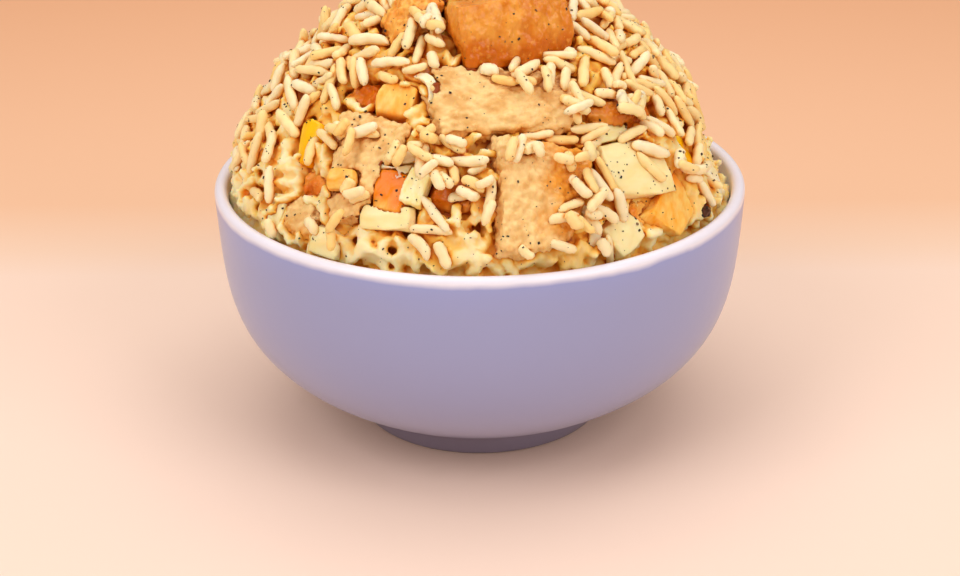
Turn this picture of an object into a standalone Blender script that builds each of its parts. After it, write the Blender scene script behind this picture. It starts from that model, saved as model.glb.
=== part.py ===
"""Chicken curry rice salad, heaped in a glazed bowl.

Metres, +Z up. The origin is the middle of the bowl's foot, on the table, and the side that the
sauce-coated chicken faces is -Y. The bowl and the core of the heap are turned shapes. The chicken,
fruit, sweetcorn and vegetable pieces are separate solids, set in pockets of the heap, and loose
grains of rice are fused to the heap between them.
"""

import math
import random
from dataclasses import dataclass
from typing import Callable

import bmesh
import bpy
from mathutils import Euler, Matrix, Vector, noise
from mathutils.bvhtree import BVHTree

MM = 0.001

# Bowl
RIM_RADIUS = 65.0 * MM
BOWL_HEIGHT = 62.0 * MM
RIM_WALL = 3.2 * MM
FOOT_RADIUS = 30.6 * MM
FOOT_HEIGHT = 4.5 * MM
FOOT_WIDTH = 3.5 * MM
FOOT_RECESS = 1.5 * MM
FOOT_EDGE = (0.6 * MM, 0.4 * MM)
FOOT_INNER_SLOPE = 0.8 * MM
FOOT_STEP = 1.0 * MM
BODY_START_RADIUS = 28.0 * MM
FLOOR_HEIGHT = 8.0 * MM
FLOOR_RADIUS = 20.0 * MM
BELLY_POWER = 4.3
BELLY_TAPER = 0.91
RINGS_TOWARDS_FLOOR = 1.6
TURNED_STEPS = 36
OUTER_RINGS = 7
INNER_RINGS = 4

# Mound of rice
MOUND_RADIUS = 60.0 * MM
MOUND_RISE = 49.0 * MM
MOUND_POWER = 1.15
MOUND_ROUNDING = 0.535
MOUND_RINGS = 9
RINGS_TOWARDS_TOP = 0.8
HIGHEST_RING = 0.999
CORE_INSET = 1.5 * MM
RICE_CONTACT_DROP = 3.0 * MM
SEAT_TOP_STEPS = (0.8 * MM, 4.0 * MM)
TROUGH_DEPTH = 5.0 * MM
TROUGH_BEARING = 20.0
TROUGH_SPREAD = 45.0
TROUGH_TOP = 0.33
LUMP_HEIGHT = 1.3 * MM
LUMP_WIDTH = 9.0 * MM
LUMP_SINK = 0.6
LUMP_START = 0.25
TOUCH_GAP = 0.35 * MM
POCKET_GAP = 0.5 * MM

# Cooked long-grain rice
GRAIN_LENGTHS = (8.0 * MM, 11.5 * MM)
GRAIN_WIDTH = 2.7 * MM
GRAIN_COUNT = 188
GRAIN_FLATNESS = 0.9
GRAIN_SIDES = 5
GRAIN_RINGS = 4
GRAIN_TILT = 24.0
GRAIN_SUNK = 0.25
GRAIN_CLEARANCE = 0.4 * MM
GRAIN_SHORTEST = 0.7
GRAIN_TRIES = 6
GRAIN_SEED = 11

GRAIN_TIP = 0.75
GRAIN_LIFT_WHEN_TILTED = 0.9

# Pieces cut or torn by hand: how far points stray, and how far edges and corners draw in,
# as shares of the size
SMALL_CUT_STRAY = 0.05
LARGE_CUT_STRAY = 0.035
SMALL_CUT_ROUNDING = {1: 1.0, 2: 0.95, 3: 0.86}
LARGE_CUT_ROUNDING = {1: 1.0, 2: 0.96, 3: 0.90}
FACE_BULGE = 0.06
EDGE_FALL = 0.3
TORN_SQUARENESS = 0.45
TORN_RIDGES = 0.28
TORN_RIDGE_SCALE = 3.1
TORN_FILL = 0.95
FIRST_PIECE_SEED = 100

SMOOTH_UP_TO = math.radians(40.0)
MERGE_DISTANCE = 0.001 * MM
GOLDEN_ANGLE = math.pi * (3.0 - math.sqrt(5.0))


@dataclass(frozen=True)
class Piece:
    """A piece of food set in the mound.

    Size is across, up the slope and through, in mm. Bearing (degrees) and rise (0 rim, 1 top) are
    the place on the mound, and lift (mm) is the middle's height over its surface. Turn is the nod
    outward at the top, the yaw to the side and the spin in the plane of the slope, in degrees.
    Flare is how much wider the top is than the bottom, and lean how far it is off to the side,
    both as shares of the width. Wedge is how much taller the right end is than the left one, as a
    share of the height.
    """

    name: str
    shape: Callable
    size: tuple
    bearing: float
    rise: float
    lift: float
    turn: tuple
    finish: str
    flare: float = 0.0
    lean: float = 0.0
    wedge: float = 0.0


# linear colour, roughness
FINISHES = {
    "lilac_glaze": ((0.33, 0.30, 0.45), 0.25),
    "coated_rice": ((0.86, 0.66, 0.34), 0.45),
    "chicken_coated": ((0.84, 0.56, 0.30), 0.45),
    "chicken_glazed": ((0.72, 0.33, 0.06), 0.35),
    "chicken_browned": ((0.52, 0.18, 0.04), 0.45),
    "apple": ((0.87, 0.74, 0.37), 0.40),
    "pineapple": ((0.86, 0.45, 0.07), 0.35),
    "celery": ((0.86, 0.76, 0.40), 0.35),
    "onion": ((0.88, 0.74, 0.46), 0.35),
    "sweetcorn": ((0.85, 0.45, 0.01), 0.30),
    "raisin": ((0.07, 0.03, 0.01), 0.50),
}


def wall_radius(height_share, start_radius, rim_radius):
    """Radius of the bowl's belly, from its start (0) to the rim (1)."""
    belly = 1.0 - (1.0 - height_share) ** BELLY_POWER
    flare = BELLY_TAPER + (1.0 - BELLY_TAPER) * height_share
    return start_radius + (rim_radius - start_radius) * belly * flare


def wall_points(start_radius, rim_radius, start_height, rim_height, rings):
    """Points up a wall, closer together low down, where it curves most."""
    points = []
    for ring in range(rings + 1):
        share = (ring / rings) ** RINGS_TOWARDS_FLOOR
        height = start_height + (rim_height - start_height) * share
        points.append((wall_radius(share, start_radius, rim_radius), height))
    return points


def inner_wall_points():
    """The bowl's inside, from its floor up to where the rim's rounding starts."""
    rim_middle = BOWL_HEIGHT - RIM_WALL / 2
    return wall_points(FLOOR_RADIUS, RIM_RADIUS - RIM_WALL, FLOOR_HEIGHT, rim_middle, INNER_RINGS)


def mound_radius(rise):
    """Radius of the heap's outer surface; rise is 0 at the rim and 1 at the top."""
    share = min(max(rise, 0.0), 1.0)
    return MOUND_RADIUS * (1.0 - share**MOUND_POWER) ** MOUND_ROUNDING


def mound_place(bearing, rise):
    """(point, outward normal) of the heap's outer surface at a bearing in degrees."""
    step = 0.01
    low, high = max(rise - step, 0.0), min(rise + step, 1.0)
    run = mound_radius(low) - mound_radius(high)
    climb = (high - low) * MOUND_RISE
    angle = math.radians(bearing)
    outward = Vector((math.cos(angle), math.sin(angle), 0.0))
    point = outward * mound_radius(rise)
    point.z = BOWL_HEIGHT + MOUND_RISE * rise
    normal = outward * climb
    normal.z = run
    return point, normal.normalized()


def new_collection(name):
    """An empty collection in the scene."""
    collection = bpy.data.collections.new(name)
    bpy.context.scene.collection.children.link(collection)
    return collection


def new_object(name, mesh, collection):
    """An object of this mesh, put in the collection."""
    obj = bpy.data.objects.new(name, mesh)
    collection.objects.link(obj)
    return obj


def material_named(name):
    """The finish of this name, made the first time it is asked for."""
    material = bpy.data.materials.get(name)
    if material is None:
        colour, roughness = FINISHES[name]
        material = bpy.data.materials.new(name)
        material.use_nodes = True
        shader = material.node_tree.nodes["Principled BSDF"]
        shader.inputs["Base Color"].default_value = (*colour, 1.0)
        shader.inputs["Roughness"].default_value = roughness
        shader.inputs["Metallic"].default_value = 0.0
    return material


def dress(obj, finish):
    """Gives the object its finish, smooth but for its edges."""
    obj.data.materials.clear()
    obj.data.materials.append(material_named(finish))
    obj.data.shade_smooth()
    obj.data.set_sharp_from_angle(angle=SMOOTH_UP_TO)


def mesh_from_bmesh(name, bm):
    """A mesh with its faces pointing outwards."""
    bmesh.ops.recalc_face_normals(bm, faces=bm.faces[:])
    mesh = bpy.data.meshes.new(name)
    bm.to_mesh(mesh)
    bm.free()
    return mesh


def applied(obj):
    """Replaces the object's mesh with what its modifiers make of it."""
    graph = bpy.context.evaluated_depsgraph_get()
    mesh = bpy.data.meshes.new_from_object(obj.evaluated_get(graph))
    obj.modifiers.clear()
    obj.data = mesh
    return obj


def turned(name, profile, collection):
    """A turned solid. The profile runs from the axis, down the outside, to the axis."""
    mesh = bpy.data.meshes.new(name)
    edges = [(i, i + 1) for i in range(len(profile) - 1)]
    mesh.from_pydata([(radius, 0.0, height) for radius, height in profile], edges, [])
    obj = new_object(name, mesh, collection)
    screw = obj.modifiers.new("turn", "SCREW")
    screw.axis = "Z"
    screw.steps = TURNED_STEPS
    screw.render_steps = TURNED_STEPS
    screw.use_merge_vertices = True
    screw.merge_threshold = 0.05 * MM
    return obj


def make_bowl(collection):
    """Thin-walled bowl with a rounded rim, on a foot ring with a shallow recess inside."""
    rim_middle = BOWL_HEIGHT - RIM_WALL / 2
    inside = inner_wall_points()
    edge_in, edge_up = FOOT_EDGE
    body_start = FOOT_HEIGHT - edge_up
    outside = wall_points(BODY_START_RADIUS, RIM_RADIUS, body_start, rim_middle, OUTER_RINGS)
    outside = [(r, z) for r, z in outside if z > FOOT_HEIGHT + FOOT_STEP]
    rim_arc = []
    for step in (1, 2, 3):
        angle = math.pi * step / 4
        radius = RIM_RADIUS - RIM_WALL / 2 - math.cos(angle) * RIM_WALL / 2
        rim_arc.append((radius, rim_middle + math.sin(angle) * RIM_WALL / 2))
    foot = [
        (FOOT_RADIUS, FOOT_HEIGHT),
        (FOOT_RADIUS, edge_up),
        (FOOT_RADIUS - edge_in, 0.0),
        (FOOT_RADIUS - FOOT_WIDTH, 0.0),
        (FOOT_RADIUS - FOOT_WIDTH - FOOT_INNER_SLOPE, FOOT_RECESS),
    ]
    profile = [(0.0, FLOOR_HEIGHT), *inside, *rim_arc, *reversed(outside), *foot, (0.0, FOOT_RECESS)]
    bowl = turned("bowl", profile, collection)
    dress(bowl, "lilac_glaze")
    return bowl


def trough_at(bearing):
    """How far the rice lies below the rim here: deepest where it has slipped off the wall."""
    away = abs((bearing - TROUGH_BEARING + 180.0) % 360.0 - 180.0)
    share = max(0.0, 1.0 - away / TROUGH_SPREAD)
    return TROUGH_DEPTH * share * share * (3.0 - 2.0 * share)


def unevened(point, seat_top):
    """A point of the heap's turned surface, moved to give it lumps and the trough at its edge."""
    rise = (point.z - seat_top) / MOUND_RISE
    lump = noise.noise(point / LUMP_WIDTH) * LUMP_HEIGHT
    slip = trough_at(math.degrees(math.atan2(point.y, point.x))) * max(0.0, 1.0 - rise / TROUGH_TOP)
    outward = Vector((point.x, point.y, 0.0))
    moved = point.copy()
    if outward.length > MM:
        push = (lump - LUMP_SINK * LUMP_HEIGHT) * min(1.0, rise / LUMP_START)
        moved += outward.normalized() * (push - slip / 2)
    moved.z += lump * min(1.0, rise / LUMP_START / 2) - slip
    return moved


def make_core(collection):
    """The heap without its loose grains: it fills the bowl and rises in uneven lumps."""
    seat_top = BOWL_HEIGHT - RICE_CONTACT_DROP
    seat = [(radius - TOUCH_GAP, height + TOUCH_GAP) for radius, height in inner_wall_points()]
    last_step, clear_step = SEAT_TOP_STEPS
    seat = [(radius, height) for radius, height in seat if height < seat_top - clear_step]
    seat.append((RIM_RADIUS - RIM_WALL - 1.2 * TOUCH_GAP, seat_top - last_step))
    dome = []
    for ring in range(MOUND_RINGS + 1):
        rise = (1.0 - ring / MOUND_RINGS) ** RINGS_TOWARDS_TOP * HIGHEST_RING
        height = seat_top + (MOUND_RISE + RICE_CONTACT_DROP - CORE_INSET) * rise
        dome.append((mound_radius(rise) - CORE_INSET * (1.0 - rise), height))
    profile = [(0.0, dome[0][1]), *dome[1:], *reversed(seat), (0.0, FLOOR_HEIGHT + TOUCH_GAP)]
    core = applied(turned("rice_heap", profile, collection))
    for vertex in core.data.vertices:
        if vertex.co.z > seat_top - 0.1 * MM:
            vertex.co = unevened(vertex.co, seat_top)
    return core


def jittered_cube(size, cuts, jitter, seed):
    """A cube of the given size whose points are pushed about, for pieces cut or torn by hand."""
    draw = random.Random(seed)
    bm = bmesh.new()
    bmesh.ops.create_cube(bm, size=1.0)
    bmesh.ops.subdivide_edges(bm, edges=bm.edges[:], cuts=cuts, use_grid_fill=True)
    for vertex in bm.verts:
        for axis in range(3):
            push = draw.uniform(-jitter, jitter)
            vertex.co[axis] = (vertex.co[axis] + push) * size[axis]
    return bm


def drawn_in(unit, rounding):
    """How far a point of a box is drawn in: not on a face, a little on an edge, more at a corner."""
    away = sum(abs(part) > 0.35 for part in unit)
    return rounding.get(away, 1.0)


def cut_block(size, seed):
    """A piece diced with a knife: flattish faces, softened edges and corners, none quite square."""
    bm = jittered_cube(size, 1, SMALL_CUT_STRAY, seed)
    for vertex in bm.verts:
        unit = [vertex.co[axis] / size[axis] for axis in range(3)]
        vertex.co *= drawn_in(unit, SMALL_CUT_ROUNDING)
    return bm


def long_cut_block(size, seed):
    """A larger diced piece, whose faces bulge a little."""
    bm = jittered_cube(size, 2, LARGE_CUT_STRAY, seed)
    for vertex in bm.verts:
        unit = [vertex.co[axis] / size[axis] for axis in range(3)]
        vertex.co *= drawn_in(unit, LARGE_CUT_ROUNDING)
        vertex.co.z *= 1.0 + FACE_BULGE - EDGE_FALL * (unit[0] ** 2 + unit[1] ** 2)
    return bm


def torn_chunk(size, seed):
    """A piece pulled apart by hand: a lump with hollows and ridges."""
    bm = bmesh.new()
    bmesh.ops.create_icosphere(bm, subdivisions=2, radius=0.5)
    shift = Vector((seed * 1.7, seed * 0.9, seed * 2.3))
    for vertex in bm.verts:
        ridge = noise.noise(vertex.co * TORN_RIDGE_SCALE + shift)
        square = 0.5 / max(abs(vertex.co.x), abs(vertex.co.y), abs(vertex.co.z))
        vertex.co *= 1.0 + TORN_SQUARENESS * (square - 1.0) + TORN_RIDGES * ridge
        vertex.co = Vector([vertex.co[axis] * size[axis] * TORN_FILL for axis in range(3)])
    return bm


def corn_kernel(size, seed):
    """A kernel of sweetcorn: broad rounded crown at the top, narrow flat root below."""
    bm = jittered_cube(size, 1, 0.02, seed)
    for vertex in bm.verts:
        share = vertex.co.y / size[1] + 0.5
        width = 0.55 + 0.45 * min(1.0, 1.5 * share)
        corner = 1.0 - 0.22 * (abs(vertex.co.x / size[0]) * abs(vertex.co.z / size[2]) * 4.0)
        vertex.co.x *= width * corner
        vertex.co.z *= (0.7 + 0.3 * share) * corner
        if share > 0.9:
            vertex.co.y -= 0.14 * size[1] * abs(vertex.co.x / size[0]) * 2.0
    return bm


def bent_strip(size, seed):
    """A strip cut from an onion's layer or a leaf stalk, curved along its length."""
    draw = random.Random(seed)
    bend = draw.uniform(0.16, 0.24)
    bm = bmesh.new()
    bmesh.ops.create_cube(bm, size=1.0)
    long_edges = [e for e in bm.edges if abs(e.verts[0].co.y - e.verts[1].co.y) > 0.5]
    bmesh.ops.subdivide_edges(bm, edges=long_edges, cuts=4, use_grid_fill=True)
    for vertex in bm.verts:
        along = 2.0 * vertex.co.y
        narrow = 1.0 - 0.12 * along * along
        vertex.co.x = vertex.co.x * size[0] * narrow + bend * size[1] * (1.0 - along * along)
        vertex.co.y *= size[1]
        vertex.co.z = vertex.co.z * size[2] - 0.12 * size[1] * along * along
    return bm


def wrinkled_fruit(size, seed):
    """A raisin: a small lump with a few deep wrinkles."""
    bm = bmesh.new()
    bmesh.ops.create_icosphere(bm, subdivisions=1, radius=0.5)
    draw = random.Random(seed)
    for vertex in bm.verts:
        vertex.co *= draw.uniform(0.85, 1.1)
        vertex.co = Vector([vertex.co[axis] * size[axis] for axis in range(3)])
    return bm


PIECES = (
    # fruit
    Piece("pineapple_cube", cut_block, (9, 8, 8), -118, 0.60, -0.4, (0, 12, 6), "pineapple"),
    Piece("pineapple_top", cut_block, (8, 6.5, 6), -114, 0.72, -0.4, (0, 0, -8), "pineapple"),
    Piece("pineapple_left", cut_block, (8, 10, 6), -111.5, 0.28, -0.2, (0, 0, 0), "pineapple", -0.2),
    Piece("pineapple_bit", cut_block, (7, 5, 4), -123, 0.28, 4.2, (0, 0, 10), "pineapple"),
    Piece("pineapple_right", cut_block, (13, 11, 6), -41, 0.105, -1.0, (0, 0, 25), "pineapple", 0.7),
    Piece("pineapple_back", cut_block, (10, 9, 8), 70, 0.22, -1.4, (0, 0, 20), "pineapple"),
    Piece("apple_right", long_cut_block, (18, 13, 8), -48, 0.30, -0.8, (0, 0, -12), "apple", 0.0, -0.2),
    Piece("apple_low_right", cut_block, (9.5, 9, 7), -57, 0.08, -1.6, (0, 0, 25), "apple"),
    Piece("apple_wedge", cut_block, (13, 6, 4), -111, 0.18, 1.2, (0, 0, 5), "apple"),
    Piece("apple_low_left", cut_block, (8, 7, 6), -125, 0.04, -1.4, (0, 0, -5), "apple"),
    Piece("apple_back", cut_block, (14, 11, 8), 140, 0.70, -1.4, (0, 0, 35), "apple"),
    Piece("apple_back_low", cut_block, (10, 9, 8), 32, 0.14, -1.4, (0, 0, -18), "apple"),
    # stalk and onion
    Piece("celery_right", cut_block, (10, 4, 4), -51, 0.45, 0.6, (0, 0, 2), "celery"),
    Piece("celery_left", cut_block, (5.5, 9, 4), -105, 0.30, 2.2, (0, 0, -14), "celery"),
    Piece("celery_rim", cut_block, (5, 11, 4), -142, 0.07, -0.6, (0, 0, 8), "celery"),
    Piece("celery_back", cut_block, (4, 12, 4), 126, 0.52, 0.0, (0, 0, 60), "celery"),
    Piece("onion_middle", bent_strip, (3, 9, 2), -109, 0.44, 2.2, (0, 0, -62), "onion"),
    Piece("onion_below", bent_strip, (3, 9, 2), -111, 0.37, 2.2, (0, 0, -80), "onion"),
    Piece("onion_low", bent_strip, (3.2, 11, 1.8), -66, 0.13, 0.3, (0, 0, 0), "onion"),
    Piece("onion_upper", bent_strip, (2.4, 8, 1.6), -108.5, 0.65, 3.6, (0, 0, 40), "onion"),
    Piece("onion_rim", bent_strip, (5, 13, 2.2), -19, 0.09, -0.2, (0, 0, 22), "onion"),
    # sweetcorn
    Piece("corn_left", corn_kernel, (8, 11, 6.5), -141, 0.38, 0.4, (0, 0, 14), "sweetcorn"),
    Piece("corn_top", corn_kernel, (6, 8, 5), -2, 0.82, 0.6, (0, 0, 150), "sweetcorn"),
    Piece("corn_shoulder", corn_kernel, (5.5, 6.5, 5), -10, 0.69, 0.4, (0, 0, 40), "sweetcorn"),
    Piece("corn_small", corn_kernel, (4, 4.5, 4), -21, 0.60, 0.4, (0, 0, -60), "sweetcorn"),
    Piece("corn_right", corn_kernel, (7, 11, 5.5), -28, 0.26, 0.0, (0, 0, 10), "sweetcorn"),
    Piece("corn_back_right", corn_kernel, (7, 9, 5.5), 72, 0.46, 0.0, (0, 0, 70), "sweetcorn"),
    Piece("corn_back_top", corn_kernel, (7, 9, 5.5), 118, 0.84, 0.4, (0, 0, 20), "sweetcorn"),
    Piece("corn_back_left", corn_kernel, (7, 10, 6), 163, 0.22, 0.0, (0, 0, 120), "sweetcorn"),
    # raisins
    Piece("raisin_right", wrinkled_fruit, (5.5, 4.5, 4.5), -29, 0.02, 0.0, (0, 0, 0), "raisin"),
    Piece("raisin_back", wrinkled_fruit, (6, 5, 5), 84, 0.12, 0.0, (0, 0, 30), "raisin"),
    # chicken on the top and down the side that faces -Y
    Piece("chicken_crown", long_cut_block, (27, 16, 18), -74, 0.865, 0.0, (46, 0, 4), "chicken_glazed"),
    Piece("chicken_torn", torn_chunk, (15, 18, 13), -131, 0.865, 0.0, (34, 0, -14), "chicken_browned"),
    Piece(
        "chicken_slab", long_cut_block, (34, 16, 9), -81.5, 0.615, -1.2,
        (-4, 0, -6), "chicken_coated", 0.1, 0.0, -0.35,
    ),
    Piece(
        "chicken_front", long_cut_block, (20, 25, 13), -76, 0.27, -1.6,
        (4, 0, -6), "chicken_coated", 0.35, 0.2, -0.3,
    ),
    Piece(
        "chicken_left", long_cut_block, (15, 26, 10), -121, 0.35, -2.0,
        (0, 0, 4), "chicken_coated", 0.6, 0.0, -0.15,
    ),
    Piece("chicken_right", torn_chunk, (23, 11, 11), -43.5, 0.52, -1.0, (0, 0, -6), "chicken_glazed"),
    Piece("chicken_hollow", torn_chunk, (10, 9, 8), -135, 0.25, -2.6, (0, 0, 20), "chicken_browned"),
    Piece("chicken_fibrous", torn_chunk, (11, 11, 7), -134, 0.12, -1.6, (0, 0, 0), "chicken_coated"),
    Piece("chicken_shoulder", torn_chunk, (11, 9, 8), 178, 0.63, -1.6, (0, 0, 10), "chicken_browned"),
    Piece("chicken_by_cube", torn_chunk, (13, 9, 9), -131, 0.60, -2.6, (0, 0, 5), "chicken_browned"),
    Piece(
        "chicken_under_apple", torn_chunk, (12, 9, 7), -50, 0.14, -3.2,
        (0, 0, -20), "chicken_browned",
    ),
    Piece("chicken_centre", torn_chunk, (14, 10, 9), -97, 0.30, -2.6, (0, 0, 0), "chicken_glazed"),
    # chicken on the far side
    Piece(
        "chicken_back_right", long_cut_block, (24, 17, 11), 52, 0.46, -2.0,
        (0, 0, 12), "chicken_coated",
    ),
    Piece(
        "chicken_back_top", long_cut_block, (26, 17, 12), 94, 0.68, -1.8,
        (0, 0, -9), "chicken_glazed",
    ),
    Piece("chicken_back_low", torn_chunk, (20, 21, 11), 108, 0.24, -1.8, (0, 0, 14), "chicken_coated"),
    Piece(
        "chicken_back_left", torn_chunk, (18, 15, 10), 146, 0.40, -2.0,
        (0, 0, -15), "chicken_browned",
    ),
)


def piece_matrix(piece):
    """Local X across the slope, Y up it and Z out of it, then turned by the piece's own angles."""
    point, normal = mound_place(piece.bearing, piece.rise)
    point = point + normal * (piece.lift * MM)
    across = Vector((0.0, 0.0, 1.0)).cross(normal).normalized()
    frame = Matrix((across, normal.cross(across), normal)).transposed().to_4x4()
    turn = Euler([math.radians(angle) for angle in piece.turn]).to_matrix().to_4x4()
    return Matrix.Translation(point) @ frame @ turn


def grown_copy(obj, by, collection):
    """A copy that is larger all round, used to cut the room that the piece needs."""
    mesh = obj.data.copy()
    copy = new_object(obj.name + "_room", mesh, collection)
    copy.matrix_world = obj.matrix_world
    offsets = [vertex.normal * by for vertex in mesh.vertices]
    for vertex, offset in zip(mesh.vertices, offsets):
        vertex.co += offset
    copy.hide_render = True
    copy.display_type = "WIRE"
    return copy


def cut_by(obj, cutters, solver="EXACT"):
    """Cuts every object of the collection out of this one, for good."""
    cut = obj.modifiers.new("cut", "BOOLEAN")
    cut.operation = "DIFFERENCE"
    cut.operand_type = "COLLECTION"
    cut.collection = cutters
    cut.solver = solver
    return applied(obj)


def keep_largest_shell(obj):
    """Drops loose scraps, and the inner skins of hollows that fusing has sealed."""
    bm = bmesh.new()
    bm.from_mesh(obj.data)
    bmesh.ops.remove_doubles(bm, verts=bm.verts[:], dist=MERGE_DISTANCE)
    shells = []
    unseen = set(bm.faces)
    while unseen:
        shell = {unseen.pop()}
        front = list(shell)
        while front:
            face = front.pop()
            near = {f for edge in face.edges for f in edge.link_faces} & unseen
            unseen -= near
            shell |= near
            front.extend(near)
        shells.append(shell)
    shells.sort(key=len)
    scraps = [face for shell in shells[:-1] for face in shell]
    bmesh.ops.delete(bm, geom=scraps, context="FACES")
    bm.to_mesh(obj.data)
    bm.free()


def overlapping(a, b):
    """Whether two meshes in world space touch."""
    return bool(world_tree(a).overlap(world_tree(b)))


def world_tree(obj):
    """The object's faces where they stand, ready to be searched."""
    bm = bmesh.new()
    bm.from_mesh(obj.data)
    bm.transform(obj.matrix_world)
    tree = BVHTree.FromBMesh(bm)
    bm.free()
    return tree


def make_piece(piece, seed, collection):
    """One topping, whole and in its place."""
    size = [side * MM for side in piece.size]
    bm = piece.shape(size, seed)
    for vertex in bm.verts:
        across, up = vertex.co.x / size[0], vertex.co.y / size[1]
        vertex.co.x = vertex.co.x * (1.0 + piece.flare * up) + piece.lean * size[0] * up
        vertex.co.y *= 1.0 + piece.wedge * across
    bmesh.ops.triangulate(bm, faces=bm.faces[:])
    obj = new_object(piece.name, mesh_from_bmesh(piece.name, bm), collection)
    obj.matrix_world = piece_matrix(piece)
    return obj


def make_pieces(collection, cutters):
    """Every topping, each cut where an earlier one already lies against it.

    Torn lumps have faces that aren't flat, which only the MANIFOLD solver cuts cleanly.
    """
    made = []
    for index, piece in enumerate(PIECES):
        obj = make_piece(piece, FIRST_PIECE_SEED + index, collection)
        bpy.context.view_layer.update()
        room = grown_copy(obj, POCKET_GAP, cutters)
        bpy.context.view_layer.update()
        for _, earlier_room in made:
            if not overlapping(obj, earlier_room):
                continue
            alone = new_collection("neighbour")
            alone.objects.link(earlier_room)
            cut_by(obj, alone, solver="MANIFOLD")
            bpy.data.collections.remove(alone)
            keep_largest_shell(obj)
        dress(obj, piece.finish)
        made.append((obj, room))
    return [obj for obj, _ in made]


def grain_mesh():
    """One cooked grain: a long lump of few sides, 1 long and 1 across."""
    bm = bmesh.new()
    bmesh.ops.create_uvsphere(bm, u_segments=GRAIN_SIDES, v_segments=GRAIN_RINGS, radius=0.5)
    for vertex in bm.verts:
        fullness = 1.0 - (1.0 - GRAIN_TIP) * abs(vertex.co.z) * 2.0
        vertex.co.x *= fullness
        vertex.co.y *= fullness
    return mesh_from_bmesh("grain", bm)


def grain_places():
    """Places for the grains, spread evenly round the heap and up it, each with its own lie."""
    draw = random.Random(GRAIN_SEED)
    for index in range(GRAIN_COUNT):
        share = (index + 0.5) / GRAIN_COUNT
        rise = share**1.1 * 0.97 + 0.01
        bearing = math.degrees(index * GOLDEN_ANGLE) + draw.uniform(-4.0, 4.0)
        length = draw.uniform(*GRAIN_LENGTHS)
        width = GRAIN_WIDTH * draw.uniform(0.9, 1.12)
        spin = draw.uniform(0.0, math.pi)
        tilt = math.radians(draw.uniform(-GRAIN_TILT, GRAIN_TILT))
        yield bearing, rise, length, width, spin, tilt


def grain_matrix(near, normal, width, spin, tilt):
    """A grain's middle and its turn, with its length along local Z, lying on the core."""
    across = Vector((0.0, 0.0, 1.0)).cross(normal).normalized()
    lie = Matrix.Rotation(spin, 3, normal) @ across
    axis = (lie * math.cos(tilt) + normal * math.sin(tilt)).normalized()
    clear = 0.5 - GRAIN_SUNK + GRAIN_LIFT_WHEN_TILTED * abs(math.sin(tilt))
    middle = near + normal * width * clear
    return Matrix.Translation(middle) @ axis.to_track_quat("Z", "Y").to_matrix().to_4x4()


def grain_fits(matrix, outward, length, width, trees):
    """Whether a grain lies clear of the toppings and of the bowl's wall."""
    for share in (-0.5, -0.33, -0.17, 0.0, 0.17, 0.33, 0.5):
        point = matrix @ Vector((0.0, 0.0, share * length))
        thickness = width / 2 * (1.0 if abs(share) < 0.4 else 0.5)
        reach = math.hypot(point.x, point.y) + thickness + TOUCH_GAP
        if point.z < BOWL_HEIGHT + width and reach > RIM_RADIUS - RIM_WALL:
            return False
        for tree in trees:
            _, _, _, distance = tree.find_nearest(point)
            if distance < thickness + GRAIN_CLEARANCE:
                return False
            _, skin_normal, _, _ = tree.ray_cast(point, outward)
            if skin_normal and skin_normal.dot(outward) > 0.0:
                return False
    return True


def fitted_grain(near, normal, length, width, spin, tilt, trees):
    """The first lie of a few that keeps clear, at full length or shortened, or None."""
    for share in (1.0, GRAIN_SHORTEST):
        for attempt in range(GRAIN_TRIES):
            turned_spin = spin + math.pi * attempt / GRAIN_TRIES
            eased_tilt = tilt * (1.0 - attempt / GRAIN_TRIES)
            matrix = grain_matrix(near, normal, width, turned_spin, eased_tilt)
            if grain_fits(matrix, normal, length * share, width, trees):
                return matrix, length * share
    return None


def add_grains(core, toppings):
    """Fuses loose grains to the core in one union, where nothing else lies.

    Many grains cross each other there, and only the MANIFOLD solver leaves one closed body.
    """
    trees = [world_tree(obj) for obj in toppings]
    core_tree = world_tree(core)
    grains = new_collection("grains")
    mesh = grain_mesh()
    for bearing, rise, length, width, spin, tilt in grain_places():
        point, normal = mound_place(bearing, rise)
        near, _, _, _ = core_tree.ray_cast(point + normal * 10.0 * MM, -normal)
        fitted = near and fitted_grain(near, normal, length, width, spin, tilt, trees)
        if not fitted:
            continue
        matrix, length = fitted
        grain = new_object("grain", mesh, grains)
        grain.matrix_world = matrix @ Matrix.Diagonal((width, width * GRAIN_FLATNESS, length, 1.0))
    bpy.context.view_layer.update()
    fuse = core.modifiers.new("fuse", "BOOLEAN")
    fuse.operation = "UNION"
    fuse.operand_type = "COLLECTION"
    fuse.collection = grains
    fuse.solver = "MANIFOLD"
    applied(core)
    for grain in list(grains.objects):
        bpy.data.objects.remove(grain)
    bpy.data.collections.remove(grains)


def main():
    for obj in list(bpy.data.objects):
        bpy.data.objects.remove(obj)
    salad = new_collection("chicken_curry_rice_salad")
    cutters = new_collection("cutters")
    cutters.hide_render = True
    make_bowl(salad)
    core = make_core(salad)
    toppings = make_pieces(salad, cutters)
    cut_by(core, cutters)
    add_grains(core, toppings)
    keep_largest_shell(core)
    dress(core, "coated_rice")


main()
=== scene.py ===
"""Chicken curry rice salad heaped in a glazed bowl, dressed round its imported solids.

Metres, +Z up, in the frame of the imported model: the bowl's foot stands on the floor at the
origin, and the side with the tall sauce-coated chicken is -Y. The bowl is turned anew with its
two glazes. The heap is a bed of dressed rice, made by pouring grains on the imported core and
letting the dressing run them together, with clean grains lying loose on it. Each piece of
chicken, fruit, sweetcorn and vegetable is worked up from its own solid.
"""

import logging
import math
import random
from dataclasses import dataclass
from enum import Enum
from typing import Iterator, Sequence

import bpy
import numpy as np
from mathutils import Matrix, Vector
from mathutils.bvhtree import BVHTree


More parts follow.
